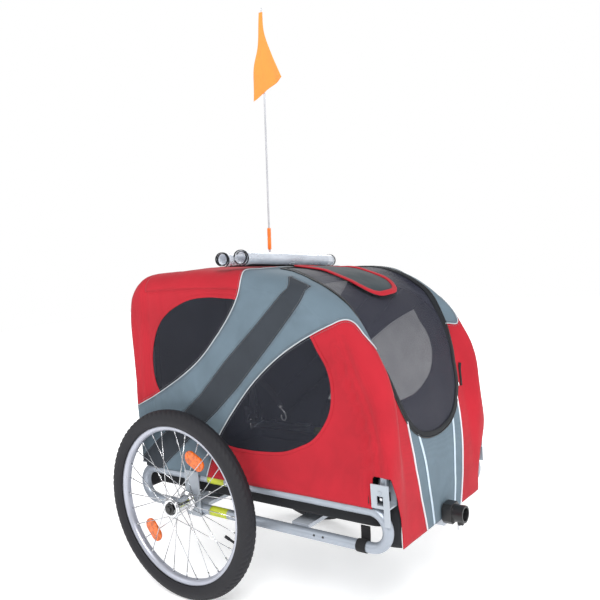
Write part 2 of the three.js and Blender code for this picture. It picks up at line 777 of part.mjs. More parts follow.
function doorPlan(inset) {
  const sides = [
    [252 + inset, 125 - inset],
    [300, 150 - inset],
    [350, 172 - inset],
    [400, 195 - inset],
    [700, 260 - inset],
  ];
  const points = [...sides, ...sides.map(([x, y]) => [x, -y]).reverse()];
  return new THREE.Shape(points.map(([x, y]) => new THREE.Vector2(x, y)));
}

function doorPrism(inset) {
  return keepInside(prismX(doorOutline(inset), 200, 700), slab(doorPlan(inset), 300, 900));
}

const REAR_DOOR_HALF = 150;
const REAR_DOOR_Z = [SIDE_BOTTOM, 760];

function rearDoorPrism(inset) {
  const half = REAR_DOOR_HALF - inset;
  const [z0, z1] = REAR_DOOR_Z;
  const corner = 50;
  const outline = [
    [-half, z0 + inset],
    [half, z0 + inset],
    ...arc([half - corner, z1 - inset - corner], corner, 0, 90, 4),
    ...arc([corner - half, z1 - inset - corner], corner, 90, 180, 4),
  ];
  return prismX(outline, REAR_X - 20, REAR_X + 20);
}

function rearPanel(skin) {
  const part = keepInside(skin, box(-FAR, ROOF_START_X - GAP, -FAR, FAR, 0, FAR));
  const loopRoom = (side) =>
    box(-FAR, 0, Math.min(side * 225, side * FAR), Math.max(side * 225, side * FAR), 0, SIDE_BOTTOM);
  return cut(part, loopRoom(-1), loopRoom(1), rearDoorPrism(0));
}

function frontPanel(skin) {
  const part = keepInside(skin, box(ROOF_END_X + GAP, FAR, -FAR, FAR, 0, FAR));
  const bracketTop = 388;
  const bracketRoom = (side) =>
    box(500, FAR, Math.min(side * 219, side * FAR), Math.max(side * 219, side * FAR), 0, bracketTop);
  const barRoom = DRAWBAR_HALF + GAP;
  const barNotch = box(500, FAR, -barRoom, barRoom, 0, DRAWBAR_Z + barRoom);
  return cut(part, bracketRoom(-1), bracketRoom(1), barNotch, doorPrism(0));
}

// The outline of the side plane: the skin's edge, closed along the top rail.
function sideOutline() {
  const edge = PROFILE.map((_, i) => skinPoint(i, 1, 90, 1)).map((p) => [p.x, p.z]);
  const kept = edge.filter(([x, z]) => z > (x > 0 ? 392 : SIDE_BOTTOM));
  const middle = [200, 580];
  const shrunk = kept.map(([x, z]) => {
    const away = new THREE.Vector2(x - middle[0], z - middle[1]);
    away.setLength(away.length() - SEAM);
    return [middle[0] + away.x, middle[1] + away.y];
  });
  const frontEdge = shrunk[shrunk.length - 1];
  return [
    [shrunk[0][0], SIDE_BOTTOM],
    ...shrunk,
    [frontEdge[0], 392],
    [545, 392],
    [545, SIDE_BOTTOM],
  ];
}

// Side windows, drawn in the side plane: the slanted rear one and the leaf-shaped front one.
const FRONT_WINDOW = [
  [184, 411],
  [270, 408],
  [345, 422],
  [405, 453],
  [447, 502],
  [468, 563],
  [460, 628],
  [438, 668],
  [416, 690],
  [345, 652],
  [263, 594],
  [195, 528],
  [147, 472],
  [128, 425],
];
const REAR_WINDOW = [
  [-84, 534],
  [17, 590],
  [100, 655],
  [160, 716],
  [202, 776],
  [112, 785],
  [30, 776],
  [-35, 742],
  [-82, 690],
  [-106, 625],
  [-102, 572],
];

function windowShape(points, grow) {
  const curve = new THREE.CatmullRomCurve3(
    points.map(([x, z]) => new THREE.Vector3(x, z, 0)),
    true,
    "centripetal",
  );
  const average = (k) => points.reduce((sum, point) => sum + point[k], 0) / points.length;
  const middle = [average(0), average(1)];
  return polygon(
    curve.getSpacedPoints(30).slice(0, -1).map((p) => {
      const away = new THREE.Vector2(p.x - middle[0], p.y - middle[1]);
      away.setLength(away.length() + grow);
      return [middle[0] + away.x, middle[1] + away.y];
    }),
  );
}

const SIDE_INNER = COVER_HALF_WIDTH - SHEET;

function onSide(shape, side, y0 = SIDE_INNER, y1 = COVER_HALF_WIDTH) {
  return side > 0 ? plate(shape, y0, y1) : plate(shape, -y1, -y0);
}

function sidePanel(side) {
  const tool = (points) => onSide(windowShape(points, 0), side, SIDE_INNER - 1, COVER_HALF_WIDTH + 1);
  return cut(onSide(polygon(sideOutline()), side), tool(FRONT_WINDOW), tool(REAR_WINDOW));
}

// A tongue of fabric that lies on the roof over the door's mesh.
function roofFlap() {
  const lift = 3;
  const rows = PROFILE.map((_, i) => i)
    .filter((i) => PROFILE[i].at[0] > 200 && PROFILE[i].at[1] > 690)
    .map((i) =>
      [-90, -45, 0, 45, 90].map((y) => {
        const [x, z] = profilePoint(i, 0);
        const normal = outwardNormal(i, 0);
        return new THREE.Vector3(x + normal.x * (lift + SHEET), y, z + normal.y * (lift + SHEET));
      }),
    );
  const tip = 482;
  const half = 74;
  const plan = new THREE.Shape(
    [
      [258, -half],
      ...arc([tip - half, 0], half, -90, 90, 10),
      [258, half],
    ].map(([x, y]) => new THREE.Vector2(x, y)),
  );
  return keepInside(thickSheet(rows, SHEET), slab(plan, 600, 900));
}

function rainRoll(x, z, radius, halfLength) {
  return rod(radius, [x, -halfLength, z], [x, halfLength, z], 14);
}

// The rear door's zip pull hangs from the slider at the door's lower left corner.
function zipPull() {
  const slider = REAR_DOOR_HALF + 8;
  const half = 5;
  const length = 30;
  const outline = [
    [slider - half, SIDE_BOTTOM - length],
    [slider + half, SIDE_BOTTOM - length],
    [slider + half, SIDE_BOTTOM],
    [slider - half, SIDE_BOTTOM],
  ];
  const front = REAR_X - GAP;
  return prismX(outline, front - 2.5, front);
}

// ---- assembly -----------------------------------------------------------------------------------
function addFrame() {
  bothSides((name, side) => {
    addPiece("side_loop_" + name, sideLoop(side), ALUMINIUM);
    addPiece("axle_bracket_" + name, side > 0 ? axleBracket() : mirrored(axleBracket()), ALUMINIUM);
  });
  const frontBar = crossBar(CROSS_BAR_X - CROSS_BAR_HALF, CROSS_BAR_X + CROSS_BAR_HALF, CROSS_BAR_REACH);
  addPiece("front_cross_bar", frontBar, ALUMINIUM);
  addPiece("axle_cross_bar", crossBar(...AXLE_BRACKET_X, CROSS_BAR_REACH), ALUMINIUM);
  const drawbar = box(
    AXLE_BRACKET_X[0],
    HITCH_BLOCK_X - GAP,
    -DRAWBAR_HALF,
    DRAWBAR_HALF,
    DRAWBAR_Z - DRAWBAR_HALF,
    DRAWBAR_Z + DRAWBAR_HALF,
  );
  addPiece("drawbar", drawbar, ALUMINIUM);
  addPiece("floor_tray", floorTray(), BLACK_FABRIC);
  addPiece("floor_board", floorBoard(), BLACK_PLASTIC);
  addPiece("hitch_receiver", hitchReceiver(), BLACK_PLASTIC);
  addPiece("hitch_pin", hitchPin(), STEEL);
}

function addBrackets() {
  bothSides((name, side) => {
    const mirror = (geometry) => (side > 0 ? geometry : mirrored(geometry));
    const front = hoopBracket(FRONT_PIVOT, FRONT_HOOP_Y, 22, 286, FRONT_HOOP_Y + 18);
    const rear = hoopBracket(REAR_PIVOT, REAR_HOOP_Y, 19, 0, LOOP_Y + 8);
    addPiece("front_hoop_bracket_" + name, mirror(front), ALUMINIUM);
    addPiece("rear_hoop_bracket_" + name, mirror(rear), ALUMINIUM);
    addPiece("front_snap_button_" + name, snapButton(FRONT_PIVOT, FRONT_HOOP_Y, side), STEEL);
    addPiece("rear_snap_button_" + name, snapButton(REAR_PIVOT, REAR_HOOP_Y, side), STEEL);
  });
  addPiece("front_hoop", drilledHoop(FRONT_LEG, FRONT_HOOP_Y, FRONT_PIVOT), ALUMINIUM);
  addPiece("rear_hoop", drilledHoop(REAR_LEG, REAR_HOOP_Y, REAR_PIVOT), ALUMINIUM);
}

function addCabin() {
  const skin = wrap();
  addPiece("rear_panel", rearPanel(skin), RED_FABRIC);
  addPiece("rear_door", keepInside(skin, rearDoorPrism(GAP)), BLACK_FABRIC);
  addPiece("roof_panel", keepInside(skin, box(ROOF_START_X, ROOF_END_X, -FAR, FAR, 700, FAR)), RED_FABRIC);
  addPiece("front_panel", frontPanel(skin), GREY_FABRIC);
  addPiece("front_door", keepInside(skin, doorPrism(GAP)), MESH_FABRIC);
  addPiece("roof_flap", roofFlap(), BLACK_FABRIC);
  bothSides((name, side) => {
    addPiece("side_panel_" + name, sidePanel(side), RED_FABRIC);
    addPiece("front_window_" + name, onSide(windowShape(FRONT_WINDOW, -GAP), side), MESH_FABRIC);
    addPiece("rear_window_" + name, onSide(windowShape(REAR_WINDOW, -GAP), side), MESH_FABRIC);
  });
  addPiece("front_rain_roll", rainRoll(200, 872, 19, 200), CLEAR_SHEET);
  addPiece("rear_rain_roll", rainRoll(160, 868, 15, 215), CLEAR_SHEET);
  addPiece("zip_pull", zipPull(), STEEL);
}

function addFlag() {
  addPiece("flag_socket", flagSocket(), BLACK_PLASTIC);
  addPiece("flag_pole", flagPole(), WHITE);
  addPiece("flag_ferrule", flagFerrule(), ORANGE);
  addPiece("flag_pennant", flagPennant(), ORANGE);
}

addFrame();
addBrackets();
addCabin();
addFlag();
bothSides(addWheel);

export default trailer;
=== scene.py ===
# Looks of the pet bicycle trailer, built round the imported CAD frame.
# Lengths here are millimetres in the "axle frame": x from the wheel axle (forward is +), y from the
# centre plane (the right side, towards the camera, is -) and z from the ground.
import json
import math

import bpy
import numpy as np
from mathutils import Matrix, Vector, noise


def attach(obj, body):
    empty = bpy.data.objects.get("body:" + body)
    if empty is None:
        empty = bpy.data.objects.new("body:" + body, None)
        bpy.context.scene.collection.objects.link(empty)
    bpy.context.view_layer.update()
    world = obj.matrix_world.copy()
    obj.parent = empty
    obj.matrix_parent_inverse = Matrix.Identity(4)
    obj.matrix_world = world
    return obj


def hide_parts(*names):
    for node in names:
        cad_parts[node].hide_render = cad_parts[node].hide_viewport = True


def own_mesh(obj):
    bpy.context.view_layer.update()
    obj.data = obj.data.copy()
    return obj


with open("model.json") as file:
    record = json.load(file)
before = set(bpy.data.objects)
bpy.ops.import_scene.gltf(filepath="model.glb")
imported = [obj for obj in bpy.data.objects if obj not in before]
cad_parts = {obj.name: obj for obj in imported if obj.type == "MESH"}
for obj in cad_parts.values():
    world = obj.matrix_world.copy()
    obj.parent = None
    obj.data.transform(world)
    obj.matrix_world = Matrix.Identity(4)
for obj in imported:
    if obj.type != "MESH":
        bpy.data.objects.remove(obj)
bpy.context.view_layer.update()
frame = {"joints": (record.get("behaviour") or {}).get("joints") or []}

MM = 0.001
JOINTS = {joint["name"]: joint for joint in frame["joints"]}
AXLE = Vector(JOINTS["wheel_spin_right"]["pos_m"])
SIDES = (("right", -1), ("left", 1))


def to_row(points):
    """Axle-frame millimetres to row-frame metres."""
    return np.asarray(points, float) * MM + np.array([AXLE.x, 0.0, 0.0])


# ---- soft fabric --------------------------------------------------------------------------------
# Soft fabric gets a mesh of its own. Pieces on the roof and the door ride bodies that come down
# with the roof.
RAIL_Z = 331.0


def crumple(obj):
    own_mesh(obj)


# ---- mesh helpers -------------------------------------------------------------------------------
def merge(*parts):
    """Joins (vertices, faces) pairs into one."""
    verts = []
    faces = []
    for part_verts, part_faces in parts:
        shift = len(verts)
        verts.extend(np.asarray(part_verts, float).reshape(-1, 3).tolist())
        faces.extend([tuple(i + shift for i in face) for face in part_faces])
    return verts, faces


def piece(name, part, material, body, replaces=(), thickness=0.0, soft=False, lined=False):
    """A new object from a (vertices, faces) pair, riding a body. Fabric has thickness, inwards."""
    verts, faces = part
    mesh = bpy.data.meshes.new(name)
    mesh.from_pydata(to_row(verts).tolist(), [], [list(face) for face in faces])
    mesh.validate()
    mesh.polygons.foreach_set("use_smooth", [True] * len(mesh.polygons))
    mesh.materials.append(mats[material])
    obj = bpy.data.objects.new(name, mesh)
    bpy.context.scene.collection.objects.link(obj)
    if thickness:
        if lined:
            mesh.materials.append(mats["lining"])
        shell = obj.modifiers.new("thickness", "SOLIDIFY")
        shell.material_offset = 1 if lined else 0
        shell.thickness = thickness * MM
        shell.offset = -1.0
        shell.use_even_offset = True
    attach(obj, body)
    if replaces:
        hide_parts(*replaces)
    if soft:
        crumple(obj)
    return obj


def frames_along(path, closed, up=None):
    """Unit tangents and two unit normals at each point of a path."""
    path = np.asarray(path, float)
    if closed:
        tangent = np.roll(path, -1, 0) - np.roll(path, 1, 0)
    else:
        tangent = np.gradient(path, axis=0)
    tangent /= np.linalg.norm(tangent, axis=1, keepdims=True)
    if up is not None:
        normal = np.broadcast_to(np.asarray(up, float), path.shape).copy()
        normal -= (normal * tangent).sum(1, keepdims=True) * tangent
        normal /= np.linalg.norm(normal, axis=1, keepdims=True)
        return tangent, normal, np.cross(tangent, normal)
    start = np.array([0.0, 0.0, 1.0]) if abs(tangent[0][2]) < 0.9 else np.array([0.0, 1.0, 0.0])
    normals = []
    current = start
    for direction in tangent:
        current = current - (current @ direction) * direction
        current /= np.linalg.norm(current)
        normals.append(current)
    normal = np.array(normals)
    return tangent, normal, np.cross(tangent, normal)


def grid(rows, columns, closed=False, loop=False, flip=False):
    """Faces over a grid of points. closed joins the ends of each row, loop the last row to the first."""
    faces = []
    for i in range(rows if loop else rows - 1):
        here = i * columns
        ahead = (i + 1) % rows * columns
        for k in range(columns if closed else columns - 1):
            n = (k + 1) % columns
            if flip:
                faces.append((here + k, ahead + k, ahead + n, here + n))
            else:
                faces.append((here + k, here + n, ahead + n, ahead + k))
    return faces


def wheel_faces(rows, columns, side):
    """Faces of a shape turned round the y axis, outwards on either side of the trailer."""
    faces = grid(rows, columns, closed=True, loop=True, flip=True)
    return faces if side > 0 else [face[::-1] for face in faces]


def sweep(path, section, closed=False, up=None, scale=None):
    """Sweeps a closed section, given as (sideways, outwards) pairs, along a path."""
    path = np.asarray(path, float)
    _, normal, across = frames_along(path, closed, up)
    count, sides = len(path), len(section)
    verts = []
    for i in range(count):
        grow = 1.0 if scale is None else scale[i]
        for a, b in section:
            verts.append(path[i] + across[i] * a * grow + normal[i] * b * grow)
    faces = grid(count, sides, closed=True, loop=closed)
    if not closed:
        faces.append(tuple(range(sides))[::-1])
        faces.append(tuple((count - 1) * sides + k for k in range(sides)))
    return np.array(verts), faces


def ring(radius, sides=12):
    turns = np.linspace(0, 2 * math.pi, sides, endpoint=False)
    return [(radius * math.cos(t), radius * math.sin(t)) for t in turns]


def strap(width, thickness):
    """Section of a webbing strap with rounded edges."""
    edge = thickness / 2
    half = width / 2 - edge
    turns = np.radians([-90, -45, 0, 45, 90])
    right = [(half + edge * math.cos(t), edge * math.sin(t)) for t in turns]
    return right + [(-a, -b) for a, b in right]


def bar(start, end, radius, sides=16, rings=2):
    path = np.linspace(start, end, rings)
    return sweep(path, ring(radius, sides))


def lathe(profile, segments, centre, side=1):
    """Turns a closed (radius, outboard offset) profile round the y axis."""
    verts = []
    for turn in np.linspace(0, 2 * math.pi, segments, endpoint=False):
        for radius, out in profile:
            across = (radius * math.cos(turn), radius * math.sin(turn))
            verts.append((centre[0] + across[0], centre[1] + side * out, centre[2] + across[1]))
    return np.array(verts), wheel_faces(segments, len(profile), side)


def arc(cx, cy, radius, start, end, steps):
    turns = np.radians(np.linspace(start, end, steps + 1))
    return [(cx + radius * math.cos(t), cy + radius * math.sin(t)) for t in turns]


def curve(points, spacing, closed=False):
    """A smooth line through points (any dimension), at even spacing."""
    p = np.array(points, float)
    if closed:
        q = np.vstack([p[-1], p, p[0], p[1]])
    else:
        q = np.vstack([2 * p[0] - p[1], p, 2 * p[-1] - p[-2]])
    fine = []
    for i in range(1, len(q) - 2):
        a, b, c, d = q[i - 1 : i + 3]
        knots = [0.0]
        for one, two in ((a, b), (b, c), (c, d)):
            knots.append(knots[-1] + max(np.linalg.norm(two - one), 1e-6) ** 0.5)
        t0, t1, t2, t3 = knots
        for t in np.linspace(t1, t2, 16, endpoint=False):
            a1 = (t1 - t) / (t1 - t0) * a + (t - t0) / (t1 - t0) * b
            a2 = (t2 - t) / (t2 - t1) * b + (t - t1) / (t2 - t1) * c
            a3 = (t3 - t) / (t3 - t2) * c + (t - t2) / (t3 - t2) * d
            b1 = (t2 - t) / (t2 - t0) * a1 + (t - t0) / (t2 - t0) * a2
            b2 = (t3 - t) / (t3 - t1) * a2 + (t - t1) / (t3 - t1) * a3
            fine.append((t2 - t) / (t2 - t1) * b1 + (t - t1) / (t2 - t1) * b2)
    fine.append(p[0] if closed else p[-1])
    fine = np.array(fine)
    length = np.concatenate([[0], np.cumsum(np.linalg.norm(np.diff(fine, axis=0), axis=1))])
    stops = np.linspace(0, length[-1], max(3, int(round(length[-1] / spacing)) + 1))
    even = np.stack([np.interp(stops, length, fine[:, k]) for k in range(fine.shape[1])], 1)
    return even[:-1] if closed else even


def smoothstep(value, start, end):
    t = np.clip((np.asarray(value, float) - start) / (end - start), 0, 1)
    return t * t * (3 - 2 * t)


def ridge(distance, width):
    """1 at distance 0, fading out over the width on either side."""
    return np.exp(-((distance / width) ** 2))


def dome(distance, reach):
    """1 at distance 0, falling to 0 at the reach."""
    return np.clip(1 - (distance / reach) ** 2, 0, 1)


# ---- materials ----------------------------------------------------------------------------------
class Shader:
    """A node material: add() makes a node with its inputs set, and wires sockets given as (node, name)."""

    def __init__(self, name):
        self.material = bpy.data.materials.new(name)
        self.material.use_nodes = True
        self.tree = self.material.node_tree
        self.surface = self.tree.nodes["Principled BSDF"]
        self.place = self.add("ShaderNodeTexCoord")

    def add(self, kind, inputs=None, **settings):
        node = self.tree.nodes.new(kind)
        for key, value in settings.items():
            setattr(node, key, value)
        self.set(node, inputs or {})
        return node

    def set(self, node, inputs):
        for key, value in inputs.items():
            socket = node.inputs[key]
            if isinstance(value, tuple) and len(value) == 2 and hasattr(value[0], "outputs"):
                self.tree.links.new(value[0].outputs[value[1]], socket)
            else:
                socket.default_value = value

    def finish(self, inputs):
        """Sets the surface's inputs and returns the material."""
        self.set(self.surface, inputs)
        return self.material

    def math(self, operation, a, b=0.0):
        return self.add("ShaderNodeMath", {0: a, 1: b}, operation=operation), "Value"

    def noise(self, scale, detail=3.0, stretch=(1, 1, 1)):
        """Noise with features of about 1/scale metres."""
        placed = self.add("ShaderNodeMapping", {"Vector": (self.place, "Object"), "Scale": stretch})
        return self.add(
            "ShaderNodeTexNoise", {"Vector": (placed, "Vector"), "Scale": scale, "Detail": detail}
        ), "Fac"

    def threads(self, pitch):
        """A woven relief, 0 to 1: waves of the given pitch (mm) along x, y and z."""
        split = self.add("ShaderNodeSeparateXYZ", {"Vector": (self.place, "Object")})
        total = None
        for axis in "XYZ":
            phase = self.math("MULTIPLY", (split, axis), 2 * math.pi / (pitch * MM))
            wave = self.math("SINE", phase)
            total = wave if total is None else self.math("ADD", total, wave)
        return self.math("MULTIPLY", total, 1 / 6)

    def mix(self, share, a, b):
        node = self.add("ShaderNodeMix", data_type="RGBA")
        self.set(node, {0: share, 6: a, 7: b})
        return node, 2

    def ramp(self, value, start, end, low_value=0.0, high_value=1.0):
        node = self.add(
            "ShaderNodeMapRange",
            {"Value": value, "From Min": start, "From Max": end, "To Min": low_value, "To Max": high_value},
        )
        return node, "Result"

    def bump(self, height, distance, strength=1.0, under=None):
        inputs = {"Height": height, "Distance": distance * MM, "Strength": strength}
        if under:
            inputs["Normal"] = under
        return self.add("ShaderNodeBump", inputs), "Normal"


def rgb(color, share=1.0):
    return tuple(min(1.0, c * share) for c in color) + (1.0,)


def woven(name, color, pitch=1.1, rough=0.82, sheen=0.25, relief=0.12, contrast=0.12, cloud=0.10, glow=0.0):
    """Coated polyester cloth: a fine weave, a soft sheen and faint blotches of shade."""
    s = Shader(name)
    threads = s.threads(pitch)
    blotch = s.noise(9.0, 4.0)
    weave = s.ramp(threads, -0.5, 0.5, 1 - contrast, 1 + contrast * 0.4)
    shade = s.math("ADD", weave, s.ramp(blotch, 0.3, 0.7, -cloud, cloud))
    tint = s.mix(s.ramp(shade, 0.7, 1.3), rgb(color, 0.7), rgb(color, 1.3))
    fibre = s.noise(1800.0, 2.0)
    normal = s.bump(fibre, 0.08, 0.35)
    normal = s.bump(threads, relief, 0.6, normal)
    return s.finish({
        "Base Color": tint,
        "Roughness": s.ramp(fibre, 0.3, 0.7, rough - 0.07, min(1.0, rough + 0.08)),
        "Normal": normal,
        "Sheen Weight": sheen,
        "Sheen Roughness": 0.4,
        "Specular IOR Level": 0.35,
        # Emission is a painted glow: with glow above 0 the cloth shines of itself, with no lamp. Only the
        # flag cloth has it.
        "Emission Color": rgb(color),
        "Emission Strength": glow,
    })


def netting(name, color, cover, pitch=1.6, sheen=0.3):
    """See-through mesh: cover is how much of it is thread. Its holes are too fine to draw one by one
    at a distance, so it lets a share of the light through and shows the grid in its relief."""
    s = Shader(name)
    threads = s.threads(pitch)
    blotch = s.noise(14.0, 3.0)
    tint = s.mix(s.ramp(threads, -0.4, 0.4), rgb(color, 0.88), rgb(color, 1.14))
    return s.finish({
        "Base Color": tint,
        "Roughness": 0.62,
        "Specular IOR Level": 0.25,
        "Normal": s.bump(threads, 0.12, 0.5),
        "Sheen Weight": sheen,
        "Sheen Roughness": 0.35,
        "Alpha": s.math(
            "ADD",
            s.ramp(threads, -0.4, 0.4, cover - 0.03, cover + 0.03),
            s.ramp(blotch, 0.3, 0.7, -0.02, 0.02),
        ),
    })


def metal(name, color, rough, streak=(1, 1, 1), streak_scale=900.0, wear=0.06, metallic=1.0):
    """Metal with fine drawing marks along a direction, and slightly duller patches."""
    s = Shader(name)
    marks = s.noise(streak_scale, 3.0, streak)
    patches = s.noise(18.0, 4.0)
    return s.finish({
        "Base Color": s.mix(s.ramp(patches, 0.35, 0.65), rgb(color, 0.94), rgb(color, 1.04)),
        "Metallic": metallic,
        "Roughness": s.math(
            "ADD",
            s.ramp(marks, 0.3, 0.7, rough - wear, rough + wear),
            s.ramp(patches, 0.3, 0.7, -0.04, 0.05),
        ),
        "Normal": s.bump(marks, 0.02, 0.5),
    })


def moulded(name, color, rough=0.45, grain=0.03, coat=0.0):
    """Moulded plastic or rubber with a fine spark-eroded grain."""
    s = Shader(name)
    grains = s.noise(1400.0, 2.0)
    patches = s.noise(25.0, 4.0)
    return s.finish({
        "Base Color": s.mix(s.ramp(patches, 0.3, 0.7), rgb(color, 0.9), rgb(color, 1.12)),
        "Roughness": s.math(
            "ADD",
            s.ramp(grains, 0.3, 0.7, rough - 0.08, rough + 0.08),
            s.ramp(patches, 0.3, 0.7, -0.03, 0.04),
        ),
        "Normal": s.bump(grains, grain, 0.6),
        "Coat Weight": coat,
        "Coat Roughness": 0.15,
    })


def webbing(name, color):
    """Woven strap: ribs about 2 mm apart."""
    s = Shader(name)
    ribs = s.threads(2.2)
    return s.finish({
        "Base Color": s.mix(s.ramp(ribs, -0.4, 0.4), rgb(color, 0.6), rgb(color, 1.3)),
        "Roughness": 0.8,
        "Normal": s.bump(ribs, 0.35, 0.8),
        "Specular IOR Level": 0.3,
        "Sheen Weight": 0.05,
    })


def prismatic(name, color):
    """Reflector plastic: clear glossy skin over a field of small prisms, with a faint painted glow."""
    s = Shader(name)
    grain = {"Vector": (s.place, "Object"), "Scale": 420.0}
    cells = s.add("ShaderNodeTexVoronoi", grain, feature="DISTANCE_TO_EDGE")
    prisms = s.mix(s.ramp((cells, "Distance"), 0.0, 0.25), rgb(color, 0.8), rgb(color, 1.25))
    return s.finish({
        "Base Color": s.mix(s.ramp(s.noise(110.0, 2.0), 0.42, 0.58), rgb(color, 0.6), prisms),
        "Roughness": 0.22,
        "Normal": s.bump((cells, "Distance"), 0.5, 0.4),
        "Coat Weight": 0.4,
        "Coat Roughness": 0.04,
        # Painted glow: the reflector shines a little of itself, with no lamp.
        "Emission Color": rgb(color),
        "Emission Strength": 0.10,
    })


def clear_film(name, color):
    """Rolled clear vinyl: glossy, milky where its layers stack up."""
    s = Shader(name)
    milky = s.noise(30.0, 3.0, (1, 0.35, 1))
    return s.finish({
        "Base Color": rgb(color),
        "Roughness": s.ramp(milky, 0.3, 0.7, 0.06, 0.2),
        "Specular IOR Level": 0.8,
        "Alpha": s.ramp(milky, 0.35, 0.65, 0.28, 0.55),
        "Normal": s.bump(milky, 1.2, 0.5),
        "Coat Weight": 0.6,
        "Coat Roughness": 0.05,
    })


def build_materials():
    return {
        "red": woven("red_cloth", (0.42, 0.010, 0.022), sheen=0.05),
        "grey": woven("grey_cloth", (0.122, 0.172, 0.212), sheen=0.08),
        "charcoal": woven("charcoal_cloth", (0.031, 0.038, 0.048), sheen=0.08),
        "black": woven("black_cloth", (0.014, 0.015, 0.018), sheen=0.12),
        # The flag cloth glows: painted light, brighter than the lamps light it.
        "flag": woven("flag_cloth", (0.93, 0.24, 0.045), pitch=0.6, cloud=0.05, glow=0.38),
        "mesh": netting("window_mesh", (0.013, 0.015, 0.024), 0.70, sheen=0.10),
        "door_mesh": netting("door_mesh", (0.030, 0.032, 0.050), 0.70, sheen=0.30),
        "piping": woven("piping", (0.50, 0.53, 0.56), pitch=0.9, sheen=0.1),
        "stripe": woven("reflective_stripe", (0.55, 0.66, 0.76), pitch=0.8, rough=0.45, sheen=0.0),
        "aluminium": metal("anodised_aluminium", (0.37, 0.41, 0.47), 0.42, (1, 6, 6), metallic=0.5),
        "rim": metal("rim_alloy", (0.48, 0.50, 0.57), 0.38, metallic=0.6),
        "polished": metal("polished_steel", (0.75, 0.76, 0.78), 0.16, (1, 1, 1), wear=0.04),
        "steel": metal("spoke_steel", (0.62, 0.63, 0.65), 0.24, (1, 1, 1), wear=0.04),
        "rubber": moulded("tyre_rubber", (0.011, 0.011, 0.015), 0.74, 0.06),
        "plastic": moulded("black_plastic", (0.012, 0.012, 0.013), 0.36, 0.02),
        "white": moulded("white_fibreglass", (0.46, 0.47, 0.50), 0.3, 0.01, 0.3),
        "orange": moulded("orange_plastic", (0.90, 0.20, 0.02), 0.35, 0.01, 0.3),
        "reflector": prismatic("amber_reflector", (0.78, 0.14, 0.006)),
        "tape": moulded("yellow_tape", (0.50, 0.56, 0.03), 0.4, 0.02),
        "vinyl": clear_film("clear_vinyl", (0.84, 0.89, 0.97)),
        "strap": webbing("black_webbing", (0.012, 0.012, 0.014)),
        "binding": webbing("black_binding", (0.009, 0.011, 0.014)),
        "lining": woven("dark_lining", (0.020, 0.020, 0.024), sheen=0.05, relief=0.05),
        # The flap cloth is drawn darker than the grey cloth; the extra darkness is painted shade for the
        # flap's shaded side.
        "flap": woven("flap_cloth", (0.030, 0.042, 0.050), pitch=1.4, sheen=0.12),
        "white_piping": woven("white_piping", (0.70, 0.70, 0.74), pitch=0.9, sheen=0.1),
        "thread": webbing("sewing_thread", (0.20, 0.21, 0.23)),
        "bracket": metal("cast_alloy", (0.42, 0.46, 0.51), 0.45, (1, 1, 1), 500.0, metallic=0.3),
        # The bars under the tub are lighter in colour and less metallic than the other tubes: painted
        # light, standing in for light that does not reach them in the tub's shadow.
        "bar": metal("bar_alloy_painted_light", (0.52, 0.56, 0.62), 0.5, (6, 1, 6), metallic=0.15),
        "board": moulded("floor_mat", (0.020, 0.020, 0.022), 0.8, 0.10),
    }


mats = build_materials()

# ---- the cabin's skin ---------------------------------------------------------------------------
# The same shape as the CAD skin, drawn smoothly. "along" runs over the centre line from the rear
# bottom edge, over the roof, to the front bottom edge. "across" is 0 on the centre plane, +-1 where
# the flat part ends, +-2 at the side plane and +-3 on the side rail.
REAR_X = -192.0
HALF_WIDTH = 252.5
ROOF_CORNER = 75.0
HEM_Z = 320.0
CORNER_START = 0.82
# x, z, and how far the front corners stand forward and up of the centre line.
REAR_PROFILE = [(REAR_X, 245, 0, 0), (REAR_X, 400, 0, 0), (REAR_X, 590, 0, 0)]
ROOF_PROFILE = [
    (-30, 849, 0, 0), (60, 851, 0, 0), (150, 850, 0, 0), (230, 846, 0, 0), (300, 838, 5, -2),
    (360, 824, 10, -2), (410, 803, 18, -3), (455, 774, 25, -6),
]
FRONT_PROFILE = [
    (492, 736, 28, -4), (520, 697, 30, 0), (545, 650, 33, 0), (562, 610, 34, 0), (573, 565, 34, 0),
    (584, 520, 28, 0), (592, 470, 23, 0), (599, 420, 16, 0), (603, 370, 9, 0), (605, 300, 3, 0),
    (605, 221, 0, 0),
]
corner = [(x, z, 0, 0) for x, z in arc(REAR_X + ROOF_CORNER, 770, ROOF_CORNER, 180, 90, 6)]
PROFILE = curve(REAR_PROFILE + corner + ROOF_PROFILE + FRONT_PROFILE, 4.0)
ALONG = np.concatenate([[0], np.cumsum(np.linalg.norm(np.diff(PROFILE[:, :2], axis=0), axis=1))])
END = ALONG[-1]


def profile(along, bulge):
    x, z, out_x, out_z = [np.interp(along, ALONG, PROFILE[:, k]) for k in range(4)]
    return x + bulge * out_x, z + bulge * out_z


def along_at(x=None, z=None):
    """Where the centre line passes an x on the roof, or a z on the front."""
    if x is not None:
        roof = np.where(PROFILE[:, 1] > 690)[0]
        return ALONG[roof[np.argmin(np.abs(PROFILE[roof, 0] - x))]]
    front = np.where(ALONG > END / 2)[0]
    return ALONG[front[np.argmin(np.abs(PROFILE[front, 1] - z))]]


def shoulder(x, z):
    """How wide and how deep the rounded shoulder is."""
    up = smoothstep(z, 700, 840)
    narrow = smoothstep(800 - z, 0, 120)
    down = smoothstep(800 - z, 0, 250)
    apron = 1 - smoothstep(z, 392, 490)
    at_rear = x < REAR_X + ROOF_CORNER
    wide = np.where(at_rear, 22 + 38 * up, 60 - 26 * narrow)
    deep = np.where(at_rear, 22 + 23 * up, 45 - 20 * down - 19 * apron)
    return wide, deep


